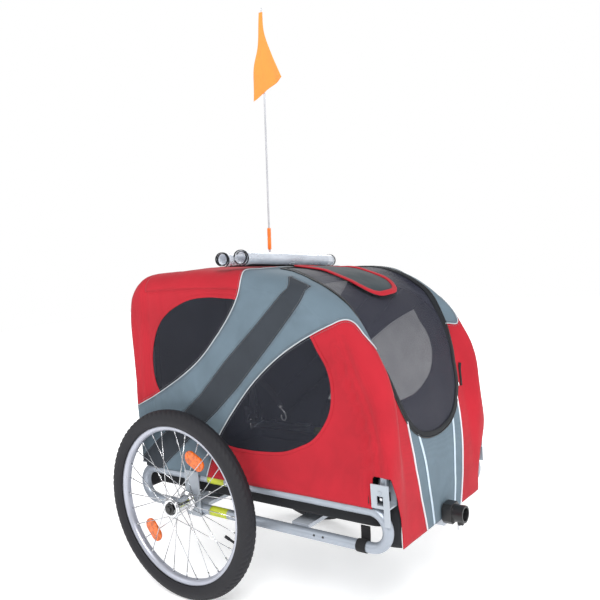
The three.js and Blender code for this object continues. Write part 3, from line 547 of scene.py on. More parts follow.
def wrap(along, across):
    """Points of the skin for across from -2 to 2."""
    along, across = np.broadcast_arrays(np.asarray(along, float), np.asarray(across, float))
    size = np.abs(across)
    x0, z0 = profile(along, 0.0)
    wide, deep = shoulder(x0, z0)
    share = np.minimum(size, 1)
    turn = np.clip(size - 1, 0, 1) * math.pi / 2
    bulge = smoothstep(share, CORNER_START, 1)
    x, z = profile(along, bulge)
    before = np.array(profile(np.clip(along - 6, 0, END), bulge))
    after = np.array(profile(np.clip(along + 6, 0, END), bulge))
    step = after - before
    normal = np.array([-step[1], step[0]]) / np.hypot(*step)
    inset = deep * (1 - np.cos(turn))
    reach = share * (HALF_WIDTH - wide) + wide * np.sin(turn)
    return np.stack([x - normal[0] * inset, np.sign(across) * reach, z - normal[1] * inset], -1)


RAIL_START = float(np.interp(HEM_Z, PROFILE[:40, 1], ALONG[:40]))
RAIL_END = along_at(z=HEM_Z)


def skin(along, across):
    """Points of the whole skin; from 2 to 3 across runs down the side plane to the side rail."""
    along, across = np.broadcast_arrays(np.asarray(along, float), np.asarray(across, float))
    points = wrap(along, np.clip(across, -2, 2))
    share = np.clip(np.abs(across) - 2, 0, 1)
    reach = np.clip((along - RAIL_START) / (RAIL_END - RAIL_START), 0, 1)
    first = wrap(RAIL_START, 2.0)[0]
    last = wrap(RAIL_END, 2.0)[0]
    foot_x = first + (last - first) * reach
    points[..., 0] += (foot_x - points[..., 0]) * share
    points[..., 2] += (HEM_Z - points[..., 2]) * share
    return points


def skin_normal(along, across):
    """Unit normals, outwards. The side planes are flat."""
    step_s, step_c = 3.0, 0.02
    size = np.clip(across, -2, 2)
    ahead = wrap(np.clip(along + step_s, 0, END), size) - wrap(np.clip(along - step_s, 0, END), size)
    side = wrap(along, np.clip(size + step_c, -2, 2)) - wrap(along, np.clip(size - step_c, -2, 2))
    normal = np.cross(ahead, side)
    normal /= np.maximum(np.linalg.norm(normal, axis=-1, keepdims=True), 1e-9)
    flat = np.stack([np.zeros_like(size), np.sign(size), np.zeros_like(size)], -1)
    return np.where(np.abs(across)[..., None] >= 2, flat, normal)


def line_distance(points, line, closed=False):
    """Distance from 2-D points to a polyline, and how far along the nearest point lies."""
    points = np.asarray(points, float).reshape(-1, 2)
    line = np.asarray(line, float)
    ends = np.roll(line, -1, 0) if closed else line[1:]
    starts = line if closed else line[:-1]
    best = np.full(len(points), 1e9)
    run = np.zeros(len(points))
    travelled = 0.0
    for a, b in zip(starts, ends):
        d = b - a
        length = np.linalg.norm(d)
        t = np.clip(((points - a) @ d) / max(length**2, 1e-9), 0, 1)
        gap = np.linalg.norm(points - a - t[:, None] * d, axis=1)
        nearer = gap < best
        best = np.where(nearer, gap, best)
        run = np.where(nearer, travelled + t * length, run)
        travelled += length
    return best, run


def inside(points, outline):
    points = np.asarray(points, float).reshape(-1, 2)
    x, y = points[:, 0], points[:, 1]
    within = np.zeros(len(points), bool)
    outline = np.asarray(outline, float)
    for (x0, y0), (x1, y1) in zip(outline, np.roll(outline, -1, 0)):
        crosses = (y0 > y) != (y1 > y)
        at = x0 + (y - y0) * (x1 - x0) / (y1 - y0 if y1 != y0 else 1e-9)
        within ^= crosses & (x < at)
    return within


def signed(points, outline):
    """Distance to a closed outline, negative inside."""
    gap, _ = line_distance(points, outline, closed=True)
    return np.where(inside(points, outline), -gap, gap)


# ---- how the cloth settles ----------------------------------------------------------------------
CREASE = curve([(470, 742), (488, 716), (505, 688), (528, 625), (558, 551), (577, 470), (580, 400)], 12)


def ripple(points, scale, seed):
    return np.array([noise.noise(Vector(p) * scale + Vector((seed, 0, 0))) for p in points.tolist()])


def settle(points, normals):
    """Moves skin points along their normals: tension between the hoops, the hoop pockets' creases,
    and small wrinkles. It depends only on the place, so everything sewn to the skin moves with it."""
    shape = points.shape
    p = points.reshape(-1, 3)
    n = normals.reshape(-1, 3)
    x, y, z = p.T
    # The side planes sag inwards between the hoops.
    beside = smoothstep(np.abs(y), 236, 252)
    hollow = beside * dome(x - 200, 400) * dome(z - 585, 270)
    move = -3.5 * hollow
    # So does the roof, which lies lower still on its far side.
    over = smoothstep(z, 800, 840) * smoothstep(x, -130, -40) * (1 - smoothstep(x, 180, 330))
    move -= 5.0 * over * dome(y, 235)
    far_side = smoothstep(y, -90, 170) * smoothstep(x, -120, 80) * (1 - smoothstep(x, 240, 400))
    move -= 20.0 * far_side * smoothstep(z, 770, 830)
    # The rear face sags between the legs of the rear hoop.
    behind = smoothstep(-x, 150, 185) * smoothstep(z, 360, 500) * (1 - smoothstep(z, 680, 800))
    move -= 5.0 * behind * dome(y, 230)
    # The front hoop's pocket: a crease on its line, a dip behind it, a ridge ahead and puckers.
    gap, run = line_distance(p[:, [0, 2]], CREASE)
    near = smoothstep(np.abs(y), 205, 245) * (z > 330)
    rearward = np.interp(z, CREASE[::-1, 1], CREASE[::-1, 0]) - x
    move -= 3.0 * near * ridge(gap, 7.5) * smoothstep(run, 0, 70)
    move -= 4.5 * near * ridge(rearward - 24, 11) * smoothstep(run, 30, 120)
    move += 2.8 * near * ridge(rearward + 20, 13) * smoothstep(run, 30, 120)
    pucker = ridge(rearward - 22, 18) * near * smoothstep(run, 60, 130)
    move += 2.0 * pucker * (0.5 + np.sin(run / 5.6 - rearward / 7.5 + 1.4 * np.sin(run / 31.0)))
    # The rear hoop's pocket, and the dip of its seam.
    lean = (z - 400) * -0.03
    move += 1.4 * (ridge(x + 148 + lean, 11) * beside * smoothstep(z, 360, 460))
    move -= 1.3 * (ridge(x + 120 + lean, 9) * beside * smoothstep(z, 400, 520))
    # Wrinkles, from large to small.
    move += 1.8 * ripple(p, 0.010, 3.0) + 0.7 * ripple(p * np.array([1, 1, 0.45]), 0.035, 9.0)
    move += 0.25 * ripple(p, 0.11, 5.0)
    return (p + n * move[:, None]).reshape(shape)


def on_skin(along, across, lift=0.0):
    """Settled points of the skin, and their normals, raised by a lift."""
    along, across = np.broadcast_arrays(np.asarray(along, float), np.asarray(across, float))
    normals = skin_normal(along, across)
    return settle(skin(along, across), normals) + normals * lift, normals


# ---- the pattern sewn into the cover ------------------------------------------------------------
# Seam lines, the same on both sides, as (x unrolled over the shoulder, z).
REAR_SEAM = curve(
    [
        (-230, 470), (-170, 491), (-86, 531), (17, 589), (78, 633), (132, 685), (180, 738), (214, 786),
        (223, 808), (223, 824), (216, 838), (205, 849), (203, 870), (203, 1000),
    ],
    8,
)
FRONT_SEAM = curve(
    [
        (660, 600), (604, 669), (571, 700), (556, 720), (537, 731), (512, 732), (484, 724), (420, 697),
        (345, 657), (265, 598), (215, 551), (147, 474), (114, 429), (72, 339), (58, 300),
    ],
    8,
)
STRIPE = [
    (372, 806), (384, 830), (444, 806), (424, 797), (386, 757), (282, 651), (193, 564), (119, 499),
    (20, 420), (-85, 335), (-120, 300), (-250, 300), (-190, 335), (-100, 407), (0, 487), (56, 531),
    (156, 628), (245, 703), (348, 794),
]
# The windows' outlines, as (x, z). They run past the seams that cut them off.
REAR_WINDOW = [
    (-86, 531), (-104, 572), (-106, 596), (-105, 625), (-98, 656), (-84, 690), (-63, 720), (-35, 743),
    (-10, 757), (48, 778), (112, 785), (170, 782), (215, 776), (300, 700), (180, 560), (0, 500),
]
FRONT_WINDOW = [
    (419, 696), (437, 663), (458, 628), (468, 592), (468, 563), (461, 526), (436, 484), (405, 453),
    (373, 437), (328, 419), (271, 411), (184, 408), (131, 414), (60, 424), (60, 520), (200, 640),
    (380, 740),
]
DOOR_TOP = along_at(x=252)
# The front door's outline: distance along the centre line from the door's top, half width.
DOOR_HALF = [
    (0, 125), (50, 146), (100, 166), (150, 180), (200, 187), (260, 191), (340, 190), (395, 182),
    (450, 167), (515, 147), (558, 120), (585, 84), (597, 45), (601, 0),
]


def door_outline():
    """(along, y) corners of the front door."""
    half = curve(DOOR_HALF, 10)
    half = half[half[:, 1] >= 0]
    right = [(DOOR_TOP + s, y) for s, y in half]
    return np.array(right + [(s, -y) for s, y in right[::-1]])


# The front panel's height and half width.
APRON_HALF = [(200, 90), (221, 94), (310, 115), (376, 128), (450, 132), (517, 134), (560, 136)]
# The opening at each front corner, where the hoop bracket comes through.
SLIT = [
    (556, 300), (560, 388), (566, 394), (609, 394), (630, 343), (646, 291), (650, 251), (650, 200),
    (450, 200), (450, 300),
]


def unrolled(points):
    """(x unrolled over the shoulder, z) of skin points."""
    return np.stack([points[:, 0] + HALF_WIDTH - np.abs(points[:, 1]), points[:, 2]], 1)


# Each field is negative inside its region: at holds (along, across) and p the points.
def rear_red(at, p):
    return signed(p[:, [0, 2]], np.vstack([REAR_SEAM, [(-400, 1000), (-400, 470)]]))


def off_rear(at, field):
    """Keeps a field off the flat rear face."""
    return np.where(at[:, 0] < END / 3, np.maximum(field, (1.05 - np.abs(at[:, 1])) * 40), field)


def front_red(at, p):
    return off_rear(at, signed(unrolled(p), np.vstack([FRONT_SEAM, [(200, 100), (900, 100), (900, 600)]])))


def stripe(at, p):
    return off_rear(at, signed(unrolled(p), STRIPE))


def rear_window(at, p):
    return signed(p[:, [0, 2]], curve(REAR_WINDOW, 8, closed=True))


def front_window(at, p):
    return signed(p[:, [0, 2]], curve(FRONT_WINDOW, 8, closed=True))


def front_door(at, p):
    return signed(np.stack([at[:, 0], p[:, 1]], 1), door_outline())


def apron(at, p):
    heights, halves = zip(*APRON_HALF)
    wide = np.abs(p[:, 1]) - np.interp(p[:, 2], heights, halves)
    return np.maximum(wide, np.maximum(p[:, 2] - 545, 500 - p[:, 0]))


def slit(at, p):
    return signed(unrolled(p), SLIT) + np.where(p[:, 0] < 400, 500, 0)


def rear_door(at, p):
    round_top = arc(100, 710, 50, 0, 90, 8)
    half = [(150, 331)] + round_top
    outline = half + [(-y, z) for y, z in half[::-1]]
    return np.maximum(signed(p[:, [1, 2]], outline), p[:, 0] + 150)


def rear_notch(at, p):
    """Below the side rails the rear cloth only spans the gap between the two side loops."""
    return np.maximum(np.maximum(222 - np.abs(p[:, 1]), p[:, 2] - RAIL_Z), p[:, 0] + 165)


ROOF_START = along_at(x=-117)
ROOF_END = along_at(x=234)


# ---- the cover, cut from one net of faces -------------------------------------------------------
class Net:
    """The whole skin as one net, which seam lines cut into panels that still share their edges."""

    def __init__(self):
        stops = [0, RAIL_START, ROOF_START, ROOF_END, RAIL_END, END]
        rows = [np.linspace(a, b, int((b - a) / 7) + 2)[:-1] for a, b in zip(stops, stops[1:])]
        rows = np.concatenate(rows + [[END]])
        side = np.linspace(2, 3, 45)[1:]
        half = np.concatenate([np.linspace(0, 1, 28), np.linspace(1, 2, 9)[1:], side])
        columns = np.concatenate([-half[:0:-1], half])
        self.at = [(row, column) for row in rows for column in columns]
        self.faces = []
        wide = len(columns)
        for i in range(len(rows) - 1):
            on_rail = rows[i] >= RAIL_START - 1e-6 and rows[i + 1] <= RAIL_END + 1e-6
            for j in range(wide - 1):
                if on_rail or max(abs(columns[j]), abs(columns[j + 1])) <= 2 + 1e-9:
                    k = i * wide + j
                    self.faces.append([k, k + wide, k + wide + 1, k + 1])
        self.labels = None

    def cut(self, field, snap=0.6):
        at = np.array(self.at)
        values = field(at, skin(at[:, 0], at[:, 1]))
        values = np.where(np.abs(values) < snap, 0.0, values).tolist()
        crossings = {}
        faces = []
        for face in self.faces:
            here = [values[i] for i in face]
            if min(here) >= 0 or max(here) <= 0:
                faces.append(face)
                continue
            below = []
            above = []
            for i, j in zip(face, face[1:] + face[:1]):
                a, b = values[i], values[j]
                if a <= 0:
                    below.append(i)
                if a >= 0:
                    above.append(i)
                if a * b < 0:
                    key = (min(i, j), max(i, j))
                    if key not in crossings:
                        share = a / (a - b)
                        one, two = self.at[i], self.at[j]
                        crossings[key] = len(self.at)
                        self.at.append(tuple(p + (q - p) * share for p, q in zip(one, two)))
                    below.append(crossings[key])
                    above.append(crossings[key])
            faces.extend(part for part in (below, above) if len(part) > 2)
        self.faces = faces

    def finish(self, namer):
        """Names each face's panel, and settles the net."""
        at = np.array(self.at)
        points = skin(at[:, 0], at[:, 1])
        middle_at = np.array([at[face].mean(0) for face in self.faces])
        middle = np.array([points[face].mean(0) for face in self.faces])
        self.labels = namer(middle_at, middle)
        self.normals = skin_normal(at[:, 0], at[:, 1])
        self.points = settle(points, self.normals)

    def panel(self, *labels):
        """(vertices, faces) of the faces with any of the labels."""
        faces = [face for face, label in zip(self.faces, self.labels) if label in labels]
        used = sorted({i for face in faces for i in face})
        index = {old: new for new, old in enumerate(used)}
        return self.points[used], [[index[i] for i in face] for face in faces]

    def seams(self, one, other):
        """Seams between two groups of panels, as (points, normals), each with "one" on its left."""
        owners = {}
        for face, label in zip(self.faces, self.labels):
            for edge in zip(face, face[1:] + face[:1]):
                owners[edge] = label
        onward = {}
        for (i, j), label in owners.items():
            if label in one and owners.get((j, i)) in other:
                onward.setdefault(i, []).append(j)
        ends = {j for following in onward.values() for j in following}
        paths = []
        while onward:
            path = [next((i for i in onward if i not in ends), next(iter(onward)))]
            while path[-1] in onward:
                here = path[-1]
                path.append(onward[here].pop())
                if not onward[here]:
                    del onward[here]
            paths.append(path)
        return [(self.points[path], self.normals[path]) for path in paths if len(path) > 4]


def name_panels(at, p):
    side = np.where(p[:, 1] < 0, "right", "left")
    color = np.full(len(p), "grey", object)
    color[stripe(at, p) < 0] = "stripe"
    color[(front_red(at, p) < 0) | (rear_red(at, p) < 0)] = "red"
    beside = np.abs(at[:, 1]) > 1.5
    color[beside & (rear_window(at, p) < 0) & (rear_red(at, p) < 0)] = "rear_window"
    color[beside & (front_window(at, p) < 0) & (front_red(at, p) < 0)] = "front_window"
    names = color + "_" + side
    at_rear = (at[:, 0] < ROOF_START) & (np.abs(at[:, 1]) < 1)
    names[at_rear & (rear_red(at, p) < 0)] = "rear_high"
    names[at_rear & (rear_red(at, p) >= 0)] = "rear_low"
    on_roof = (at[:, 0] > ROOF_START) & (at[:, 0] < ROOF_END) & (np.abs(at[:, 1]) < 2)
    names[on_roof & (rear_red(at, p) < 0)] = "roof"
    names[apron(at, p) < 0] = "apron"
    names[front_door(at, p) < 0] = "front_door"
    names[rear_door(at, p) < 0] = "rear_door"
    names[(slit(at, p) < 0) | (rear_notch(at, p) < 0)] = "open"
    return names.tolist()


net = Net()
for seam_field in (
    rear_red, front_red, stripe, rear_window, front_window, front_door, apron, slit, rear_door, rear_notch,
):
    net.cut(seam_field)
net.finish(name_panels)

CLOTH = 1.2


def build_panel(name, label, color, body, slot, nodes=(), see_through=False):
    """A panel of the net. Cloth has thickness and a dark lining; see-through mesh is a bare sheet."""
    thickness = 0.0 if see_through else CLOTH
    piece(name, net.panel(label), color, body, nodes, thickness, True, not see_through)


def build_cover():
    for side, _ in SIDES:
        node = "side_panel_" + side
        build_panel("side_red_" + side, "red_" + side, "red", "frame", "red_fabric", [node])
        build_panel("side_grey_" + side, "grey_" + side, "grey", "frame", "grey_fabric")
        build_panel("side_stripe_" + side, "stripe_" + side, "charcoal", "frame", "black_fabric")
        for window in ("rear_window_", "front_window_"):
            node = window + side
            build_panel(window + "mesh_" + side, node, "mesh", "frame", "mesh_fabric", [node], True)
    build_panel("roof_cloth", "roof", "red", "roof", "red_fabric", ["roof_panel"])
    build_panel("rear_cloth_high", "rear_high", "red", "frame", "red_fabric", ["rear_panel"])
    build_panel("rear_cloth_low", "rear_low", "grey", "frame", "grey_fabric")
    build_panel("front_cloth", "apron", "grey", "frame", "grey_fabric", ["front_panel"])
    door = ("front_door_mesh", "front_door", "door_mesh", "front_door", "mesh_fabric")
    build_panel(*door, ["front_door"], True)
    build_panel("rear_door_cloth", "rear_door", "red", "rear_door", "red_fabric", ["rear_door"])


build_cover()


# ---- trims sewn along the seams -----------------------------------------------------------------
def even(points, normals, spacing, rounds=3):
    """A seam resampled evenly and smoothed. Returns points, normals and whether it closes."""
    closed = bool(np.linalg.norm(points[0] - points[-1]) < 1e-6)
    length = np.concatenate([[0], np.cumsum(np.linalg.norm(np.diff(points, axis=0), axis=1))])
    stops = np.linspace(0, length[-1], max(4, int(length[-1] / spacing) + 1))
    both = np.hstack([points, normals])
    both = np.stack([np.interp(stops, length, both[:, k]) for k in range(6)], 1)
    if closed:
        both = both[:-1]
    for _ in range(rounds):
        if closed:
            both = (np.roll(both, 1, 0) + 2 * both + np.roll(both, -1, 0)) / 4
        else:
            both[1:-1] = (both[:-2] + 2 * both[1:-1] + both[2:]) / 4
    out = both[:, 3:] / np.linalg.norm(both[:, 3:], axis=1, keepdims=True)
    return both[:, :3], out, closed


def trim(one, other, section, lift=0.0, spacing=5.0, shift=0.0):
    """A section swept along every seam between two groups of panels, raised, and shifted towards other."""
    parts = []
    for points, normals in net.seams(one, other):
        path, up, closed = even(points, normals, spacing)
        _, normal, across = frames_along(path, closed, up)
        path = path + normal * lift + across * shift
        parts.append(sweep(path, section, closed, normal))
    return merge(*parts)


SIDE_NAMES = ("right", "left")
RED_SIDE = [name + side for name in ("red_", "rear_window_", "front_window_") for side in SIDE_NAMES]
RED_SIDE += ["roof", "rear_high"]
GREY_SIDE = [name + side for name in ("grey_", "stripe_") for side in SIDE_NAMES] + ["rear_low"]
AROUND_DOOR = RED_SIDE + GREY_SIDE + ["apron"]


def build_piping():
    cord = ring(1.5, 8)
    sides = trim(RED_SIDE, GREY_SIDE, cord, 1.0)
    piece("side_piping", sides, "piping", "frame", soft=True)
    apron_sides = trim(["apron"], RED_SIDE + GREY_SIDE, ring(2.2, 8), 1.2)
    piece("front_piping", apron_sides, "white_piping", "frame", soft=True)


def build_door_binding():
    """Black tape round the front door, with a zip just outside it."""
    tape = trim(["front_door"], AROUND_DOOR, strap(12, 2.2), 1.4, shift=-4.5)
    piece("door_binding", tape, "binding", "front_door", soft=True)
    teeth = trim(["front_door"], AROUND_DOOR, ring(1.4, 6), 1.6, shift=3.5)
    piece("door_zip", teeth, "plastic", "front_door", soft=True)
    rear = trim(["rear_door"], ["rear_high", "rear_low"], strap(13, 2.0), 1.4, shift=-5.0)
    piece("rear_door_binding", rear, "binding", "rear_door", soft=True)


def build_window_hems():
    """A turned edge of cloth round each mesh window."""
    windows = ["rear_window_", "front_window_"]
    for side in SIDE_NAMES:
        names = [window + side for window in windows]
        hem = trim(names, ["red_" + side, "roof"], strap(8, 1.4), 0.5, shift=3.5)
        piece("window_hem_" + side, hem, "red", "frame", soft=True)


def stitches(points, normals, shift, lift=0.9, length=3.4, gap=2.4):
    """A row of thread stitches beside a seam."""
    path, up, closed = even(points, normals, length + gap)
    tangent, normal, across = frames_along(path, closed, up)
    parts = []
    for here, ahead, out, sideways in zip(path, tangent, normal, across):
        middle = here + sideways * shift + out * lift
        reach = ahead * length / 2
        parts.append(sweep([middle - reach, middle + reach], ring(0.45, 4), up=out))
    return merge(*parts)


def build_stitching():
    rows = []
    for points, normals in net.seams(RED_SIDE, GREY_SIDE):
        rows.append(stitches(points, normals, 6.0))
        rows.append(stitches(points, normals, -6.0))
    piece("seam_stitching", merge(*rows), "thread", "frame", soft=True)
    rows = []
    for side in SIDE_NAMES:
        for points, normals in net.seams(["stripe_" + side], ["grey_" + side]):
            rows.append(stitches(points, normals, 3.0))
            rows.append(stitches(points, normals, -3.0))
    piece("stripe_stitching", merge(*rows), "thread", "frame", soft=True)


def across_of(along, y):
    """The across value of a point of the flat part that lies y from the centre plane."""
    x, z = profile(along, 0.0)
    wide, _ = shoulder(x, z)
    return y / (HALF_WIDTH - wide)


def along_of_front(z):
    """Distance along the centre line of a height on the front."""
    front = ALONG > END / 2
    return np.interp(-np.asarray(z, float), -PROFILE[front, 1], ALONG[front])


def ribbon(along, y, width, thickness, lift):
    """A flat ribbon laid on the flat part through (along, y) points."""
    points, normals = on_skin(along, across_of(along, y), lift)
    return sweep(points, strap(width, thickness), up=normals)


def build_front_stripes():
    """Two reflective ribbons on the front panel, closer together at the bottom."""
    parts = []
    for _, side in SIDES:
        z = np.linspace(457, 223, 40)
        y = side * np.interp(z, [221, 450, 470], [56, 91, 94])
        parts.append(ribbon(along_of_front(z), y, 8.0, 1.0, 0.8))
    piece("front_stripes", merge(*parts), "stripe", "frame", soft=True)


def build_pull_tabs():
    """Short webbing loops beside the door's lower edge, and the slider of its zip."""
    parts = []
    for _, side in SIDES:
        start = 463 if side > 0 else 432
        along = DOOR_TOP + np.linspace(start, start + 57, 12)
        y = side * (np.linspace(188, 168, 12) + (463 - start) * 0.16)
        parts.append(ribbon(along, y, 8.0, 3.0, 2.2))
    piece("door_tabs", merge(*parts), "strap", "frame", soft=True)
    along = DOOR_TOP + np.array([508.0, 513.0, 518.0])
    slider = ribbon(along, np.array([153.5, 152.0, 150.5]), 4.0, 2.4, 3.4)
    piece("door_slider", slider, "polished", "front_door", soft=True)


# ---- the vent flap on the front door ------------------------------------------------------------
FLAP_START = along_at(x=258)
FLAP_END = along_at(x=476)
FLAP_HALF = 77.0
FLAP_CORNER = 58.0


def flap_half(along):
    """Half width of the flap, with rounded front corners."""
    short = np.clip(FLAP_CORNER - (FLAP_END - along), 0, FLAP_CORNER)
    return FLAP_HALF - (FLAP_CORNER - np.sqrt(FLAP_CORNER**2 - short**2))


def flap_lift(along, y):
    """The flap lies on the door at its back edge and its lip stands up at the front."""
    share = (along - FLAP_START) / (FLAP_END - FLAP_START)
    wave = 2.2 * np.sin(y / 24.0 + 1.0) * smoothstep(share, 0.4, 1)
    return 3.5 + 10.0 * smoothstep(share, 0.45, 1.0) + wave + 1.2 * np.sin(along / 15.0) * np.cos(y / 33.0)


def flap_points(along, y, lift=0.0):
    points, normals = on_skin(along, across_of(along, y))
    return points + normals * (flap_lift(along, y) + lift)[..., None], normals


def build_vent_flap():
    rows, columns = 40, 31
    lines = FLAP_END - (FLAP_END - FLAP_START) * np.linspace(0, 1, rows) ** 1.6
    along = np.repeat(lines, columns).reshape(rows, columns)
    points, _ = flap_points(along, flap_half(along) * np.linspace(-1, 1, columns))
    flap = (points.reshape(-1, 3), grid(rows, columns))
    piece("vent_flap", flap, "flap", "roof_flap", ["roof_flap"], CLOTH, True)
    inset = 6.0
    edge = []
    for sign in (1, -1):
        line = np.linspace(FLAP_START + inset, FLAP_END - inset, 50)
        if sign < 0:
            line = line[::-1]
        half = flap_half(np.clip(line + inset * 0.7, FLAP_START, FLAP_END)) - inset
        edge.append(np.stack([line, sign * half], 1))
    outline = curve(np.vstack(edge), 5, closed=True)
    path, normals = flap_points(outline[:, 0], outline[:, 1], 1.0)
    red = sweep(path, strap(15, 4.0), True, normals)
    piece("vent_binding", red, "red", "roof_flap", soft=True)


# ---- rolled rain covers -------------------------------------------------------------------------
def build_roll(name, node, x, z, radius, reach, slope, turns):
    """A clear sheet rolled up, with black tape bound round its edges. reach holds its two ends in y."""
    angle = np.linspace(0, turns * 2 * math.pi, int(turns * 26))
    spread = radius - 0.36 * radius * angle / angle[-1] + 0.8 * np.sin(angle * 1.7)
    start = math.radians(-70)
    spiral = np.stack([1.08 * spread * np.cos(angle + start), 0.94 * spread * np.sin(angle + start)], 1)
    stations = np.linspace(*reach, 41)
    rows = []
    for y in stations:
        squeeze = 1 + 0.05 * noise.noise(Vector((y * 0.025, radius, 0.0)))
        open_end = 1 + 0.14 * math.exp(-(((y - reach[0]) / 22) ** 2))
        level = z - slope * y
        rows.append([(x + a * squeeze * open_end, y, level + b / squeeze * open_end) for a, b in spiral])
    count = len(spiral)
    sheet = (np.array(rows).reshape(-1, 3), grid(len(stations), count))
    piece(name, sheet, "vinyl", "roof", [node], 0.7)
    out = np.stack([spiral[:, 0], np.zeros(count), spiral[:, 1]], 1)
    out /= np.linalg.norm(out, axis=1, keepdims=True)
    tapes = []
    for y, grow in ((reach[0] + 2, 1.16), (reach[1] - 2, 1.02)):
        path = [(x + a * grow, y, z - slope * y + b * grow) for a, b in spiral]
        tapes.append(sweep(path, strap(5, 1.3), up=out))
    a, b = spiral[0] * 1.03
    edge = [(x + a, y, z - slope * y + b) for y in stations[1:-1]]
    tapes.append(sweep(edge, strap(8, 1.6), up=(a, 0, b)))
    piece(name + "_tape", merge(*tapes), "binding", "roof")


# ---- floor tub, lining and straps ---------------------------------------------------------------
def rounded_plan(x0, x1, half, radius):
    corners = ((x1 - radius, half - radius, 0), (x0 + radius, half - radius, 90))
    corners += ((x0 + radius, radius - half, 180), (x1 - radius, radius - half, 270))
    points = []
    for cx, cy, turn in corners:
        points += arc(cx, cy, radius, turn, turn + 90, 6)
    return curve(points, 9, closed=True)


TUB_X = 199.5
TUB_HALF = np.array([371.0, 225.5])
# Height, and how far the tub's side stands in from its plan.
TUB_SIDE = ((305, 0.4), (303, 0), (296, 0), (288, 0.6), (280, 1.2), (272, 0.8), (268, 2.5), (266, 7))


def build_tub():
    """The cloth tub that hangs between the side rails and holds the floor board."""
    outer = rounded_plan(-172, 571, TUB_HALF[1], 30)
    rings = []
    for z, inset in TUB_SIDE:
        plan = outer * (1 - inset / TUB_HALF) + np.array([TUB_X, 0]) * inset / TUB_HALF[0]
        rings.append([(px, py, z) for px, py in plan])
    points = np.array(rings)
    spots = (points.reshape(-1, 3) * (0.02, 0.02, 0.06)).tolist()
    wave = np.array([1.1 * noise.noise(Vector(spot)) for spot in spots])
    centre = np.array([TUB_X, 0, 285])
    out = points.reshape(-1, 3) - centre
    out[:, 2] = 0
    out /= np.linalg.norm(out, axis=1, keepdims=True)
    points = (points.reshape(-1, 3) - out * (0.8 + wave)[:, None]).reshape(points.shape)
    count = points.shape[1]
    faces = grid(len(points), count, closed=True, flip=True)
    last = (len(points) - 1) * count
    faces.append([last + j for j in range(count)][::-1])
    tub = (points.reshape(-1, 3), faces)
    piece("floor_tub", tub, "black", "frame", ["floor_tray"], CLOTH)
    hem = [(px, py, 303.5) for px, py in outer]
    flat = np.hstack([outer - centre[:2], np.zeros((len(outer), 1))])
    piece("tub_hem", sweep(hem, strap(8, 1.4), True, flat), "binding", "frame")


def build_corner_linings():
    """Black cloth behind the openings at the front corners."""
    upper = curve([(549, 250), (552, 232), (558, 218), (570, 215), (590, 214), (603, 211)], 6)
    lower = curve([(573, 216), (585, 215), (603, 210)], 6)
    parts = []
    for _, side in SIDES:
        for plan, bottom, top in ((upper, 330, 400), (lower, 225, 332)):
            heights = np.linspace(bottom, top, 12)
            rows = [[(x, side * (y - 1.5 * math.sin(z / 14.0)), z) for x, y in plan] for z in heights]
            parts.append((rows, grid(len(rows), len(plan))))
    piece("corner_linings", merge(*parts), "black", "frame", thickness=1.0, soft=True)


RAIL_R = 12.5
STRAP_X = 520.0
RAIL_Y = 239.0
TOP_RAIL_Z = 312.0
BOTTOM_RAIL_Z = 225.0
TAPE_X = (62, 120)
PLUG_X = (394, 419)


def build_rail_tape():
    """Bright tape round both rails, just ahead of the axle bracket."""
    parts = []
    for _, side in SIDES:
        for z in (TOP_RAIL_Z, BOTTOM_RAIL_Z):
            back, front = [(x, side * RAIL_Y, z) for x in TAPE_X]
            parts.append(bar(back, front, RAIL_R + 0.35, 32, 8))
    piece("rail_tape", merge(*parts), "tape", "frame")


def build_rail_straps():
    """Webbing loops that tie the tub to the lower rails."""
    parts = []
    angle = np.linspace(0, 2 * math.pi, 28, endpoint=False)
    reach = RAIL_R + 1.4
    for _, side in SIDES:
        path = [
            (STRAP_X, side * RAIL_Y + reach * math.cos(t), BOTTOM_RAIL_Z + reach * math.sin(t))
            for t in angle
        ]
        out = [(0, math.cos(t), math.sin(t)) for t in angle]
        parts.append(sweep(path, strap(25, 1.8), True, out))
        hang = [(STRAP_X, side * y, z) for y, z in ((RAIL_Y - 13, 232), (224.5, 246), (224, 266))]
        parts.append(sweep(curve(hang, 5), strap(25, 1.8), up=(0, side, 0)))
    piece("rail_straps", merge(*parts), "strap", "frame")


def build_rail_plugs():
    """Two small plugs in the outer face of each lower rail."""
    parts = []
    for _, side in SIDES:
        for x in PLUG_X:
            parts.append(bar((x, side * 249, 228), (x, side * 251.4, 228), 3.0, 20))
    piece("rail_plugs", merge(*parts), "plastic", "frame")


def build_leash():
    """Short leash inside, with a snap hook at its end."""
    hang = [(244, -232, 600), (250, -226, 575), (257, -208, 552), (268, -200, 530), (280, -199, 512)]
    leash = sweep(curve(hang, 5), strap(16, 2.0), up=(0.2, -1, 0))
    piece("leash", leash, "strap", "frame", soft=True)
    bend = [(280, 512), (284, 505), (292, 497), (296, 486), (291, 477), (283, 480), (281, 491)]
    hook = [(x, -199, z) for x, z in bend]
    parts = merge(sweep(curve(hook, 2.5), ring(2.1, 10)), bar((276, -199, 516), (284, -199, 506), 5.0, 16))
    piece("snap_hook", parts, "polished", "frame", soft=True)


# ---- frame tubes --------------------------------------------------------------------------------
LOOP_FRONT_X = 543.5
LOOP_REAR_X = -142.5
LOOP_Z = 268.5
LOOP_R = 43.5


def build_loops():
    outline = arc(LOOP_FRONT_X, LOOP_Z, LOOP_R, -90, 90, 28) + arc(LOOP_REAR_X, LOOP_Z, LOOP_R, 90, 270, 28)
    for name, side in SIDES:
        path = [(x, side * RAIL_Y, z) for x, z in outline]
        loop = sweep(path, ring(RAIL_R, 32), True, up=(0, 1, 0))
        piece("side_rail_" + name, loop, "aluminium", "frame", ["side_loop_" + name])


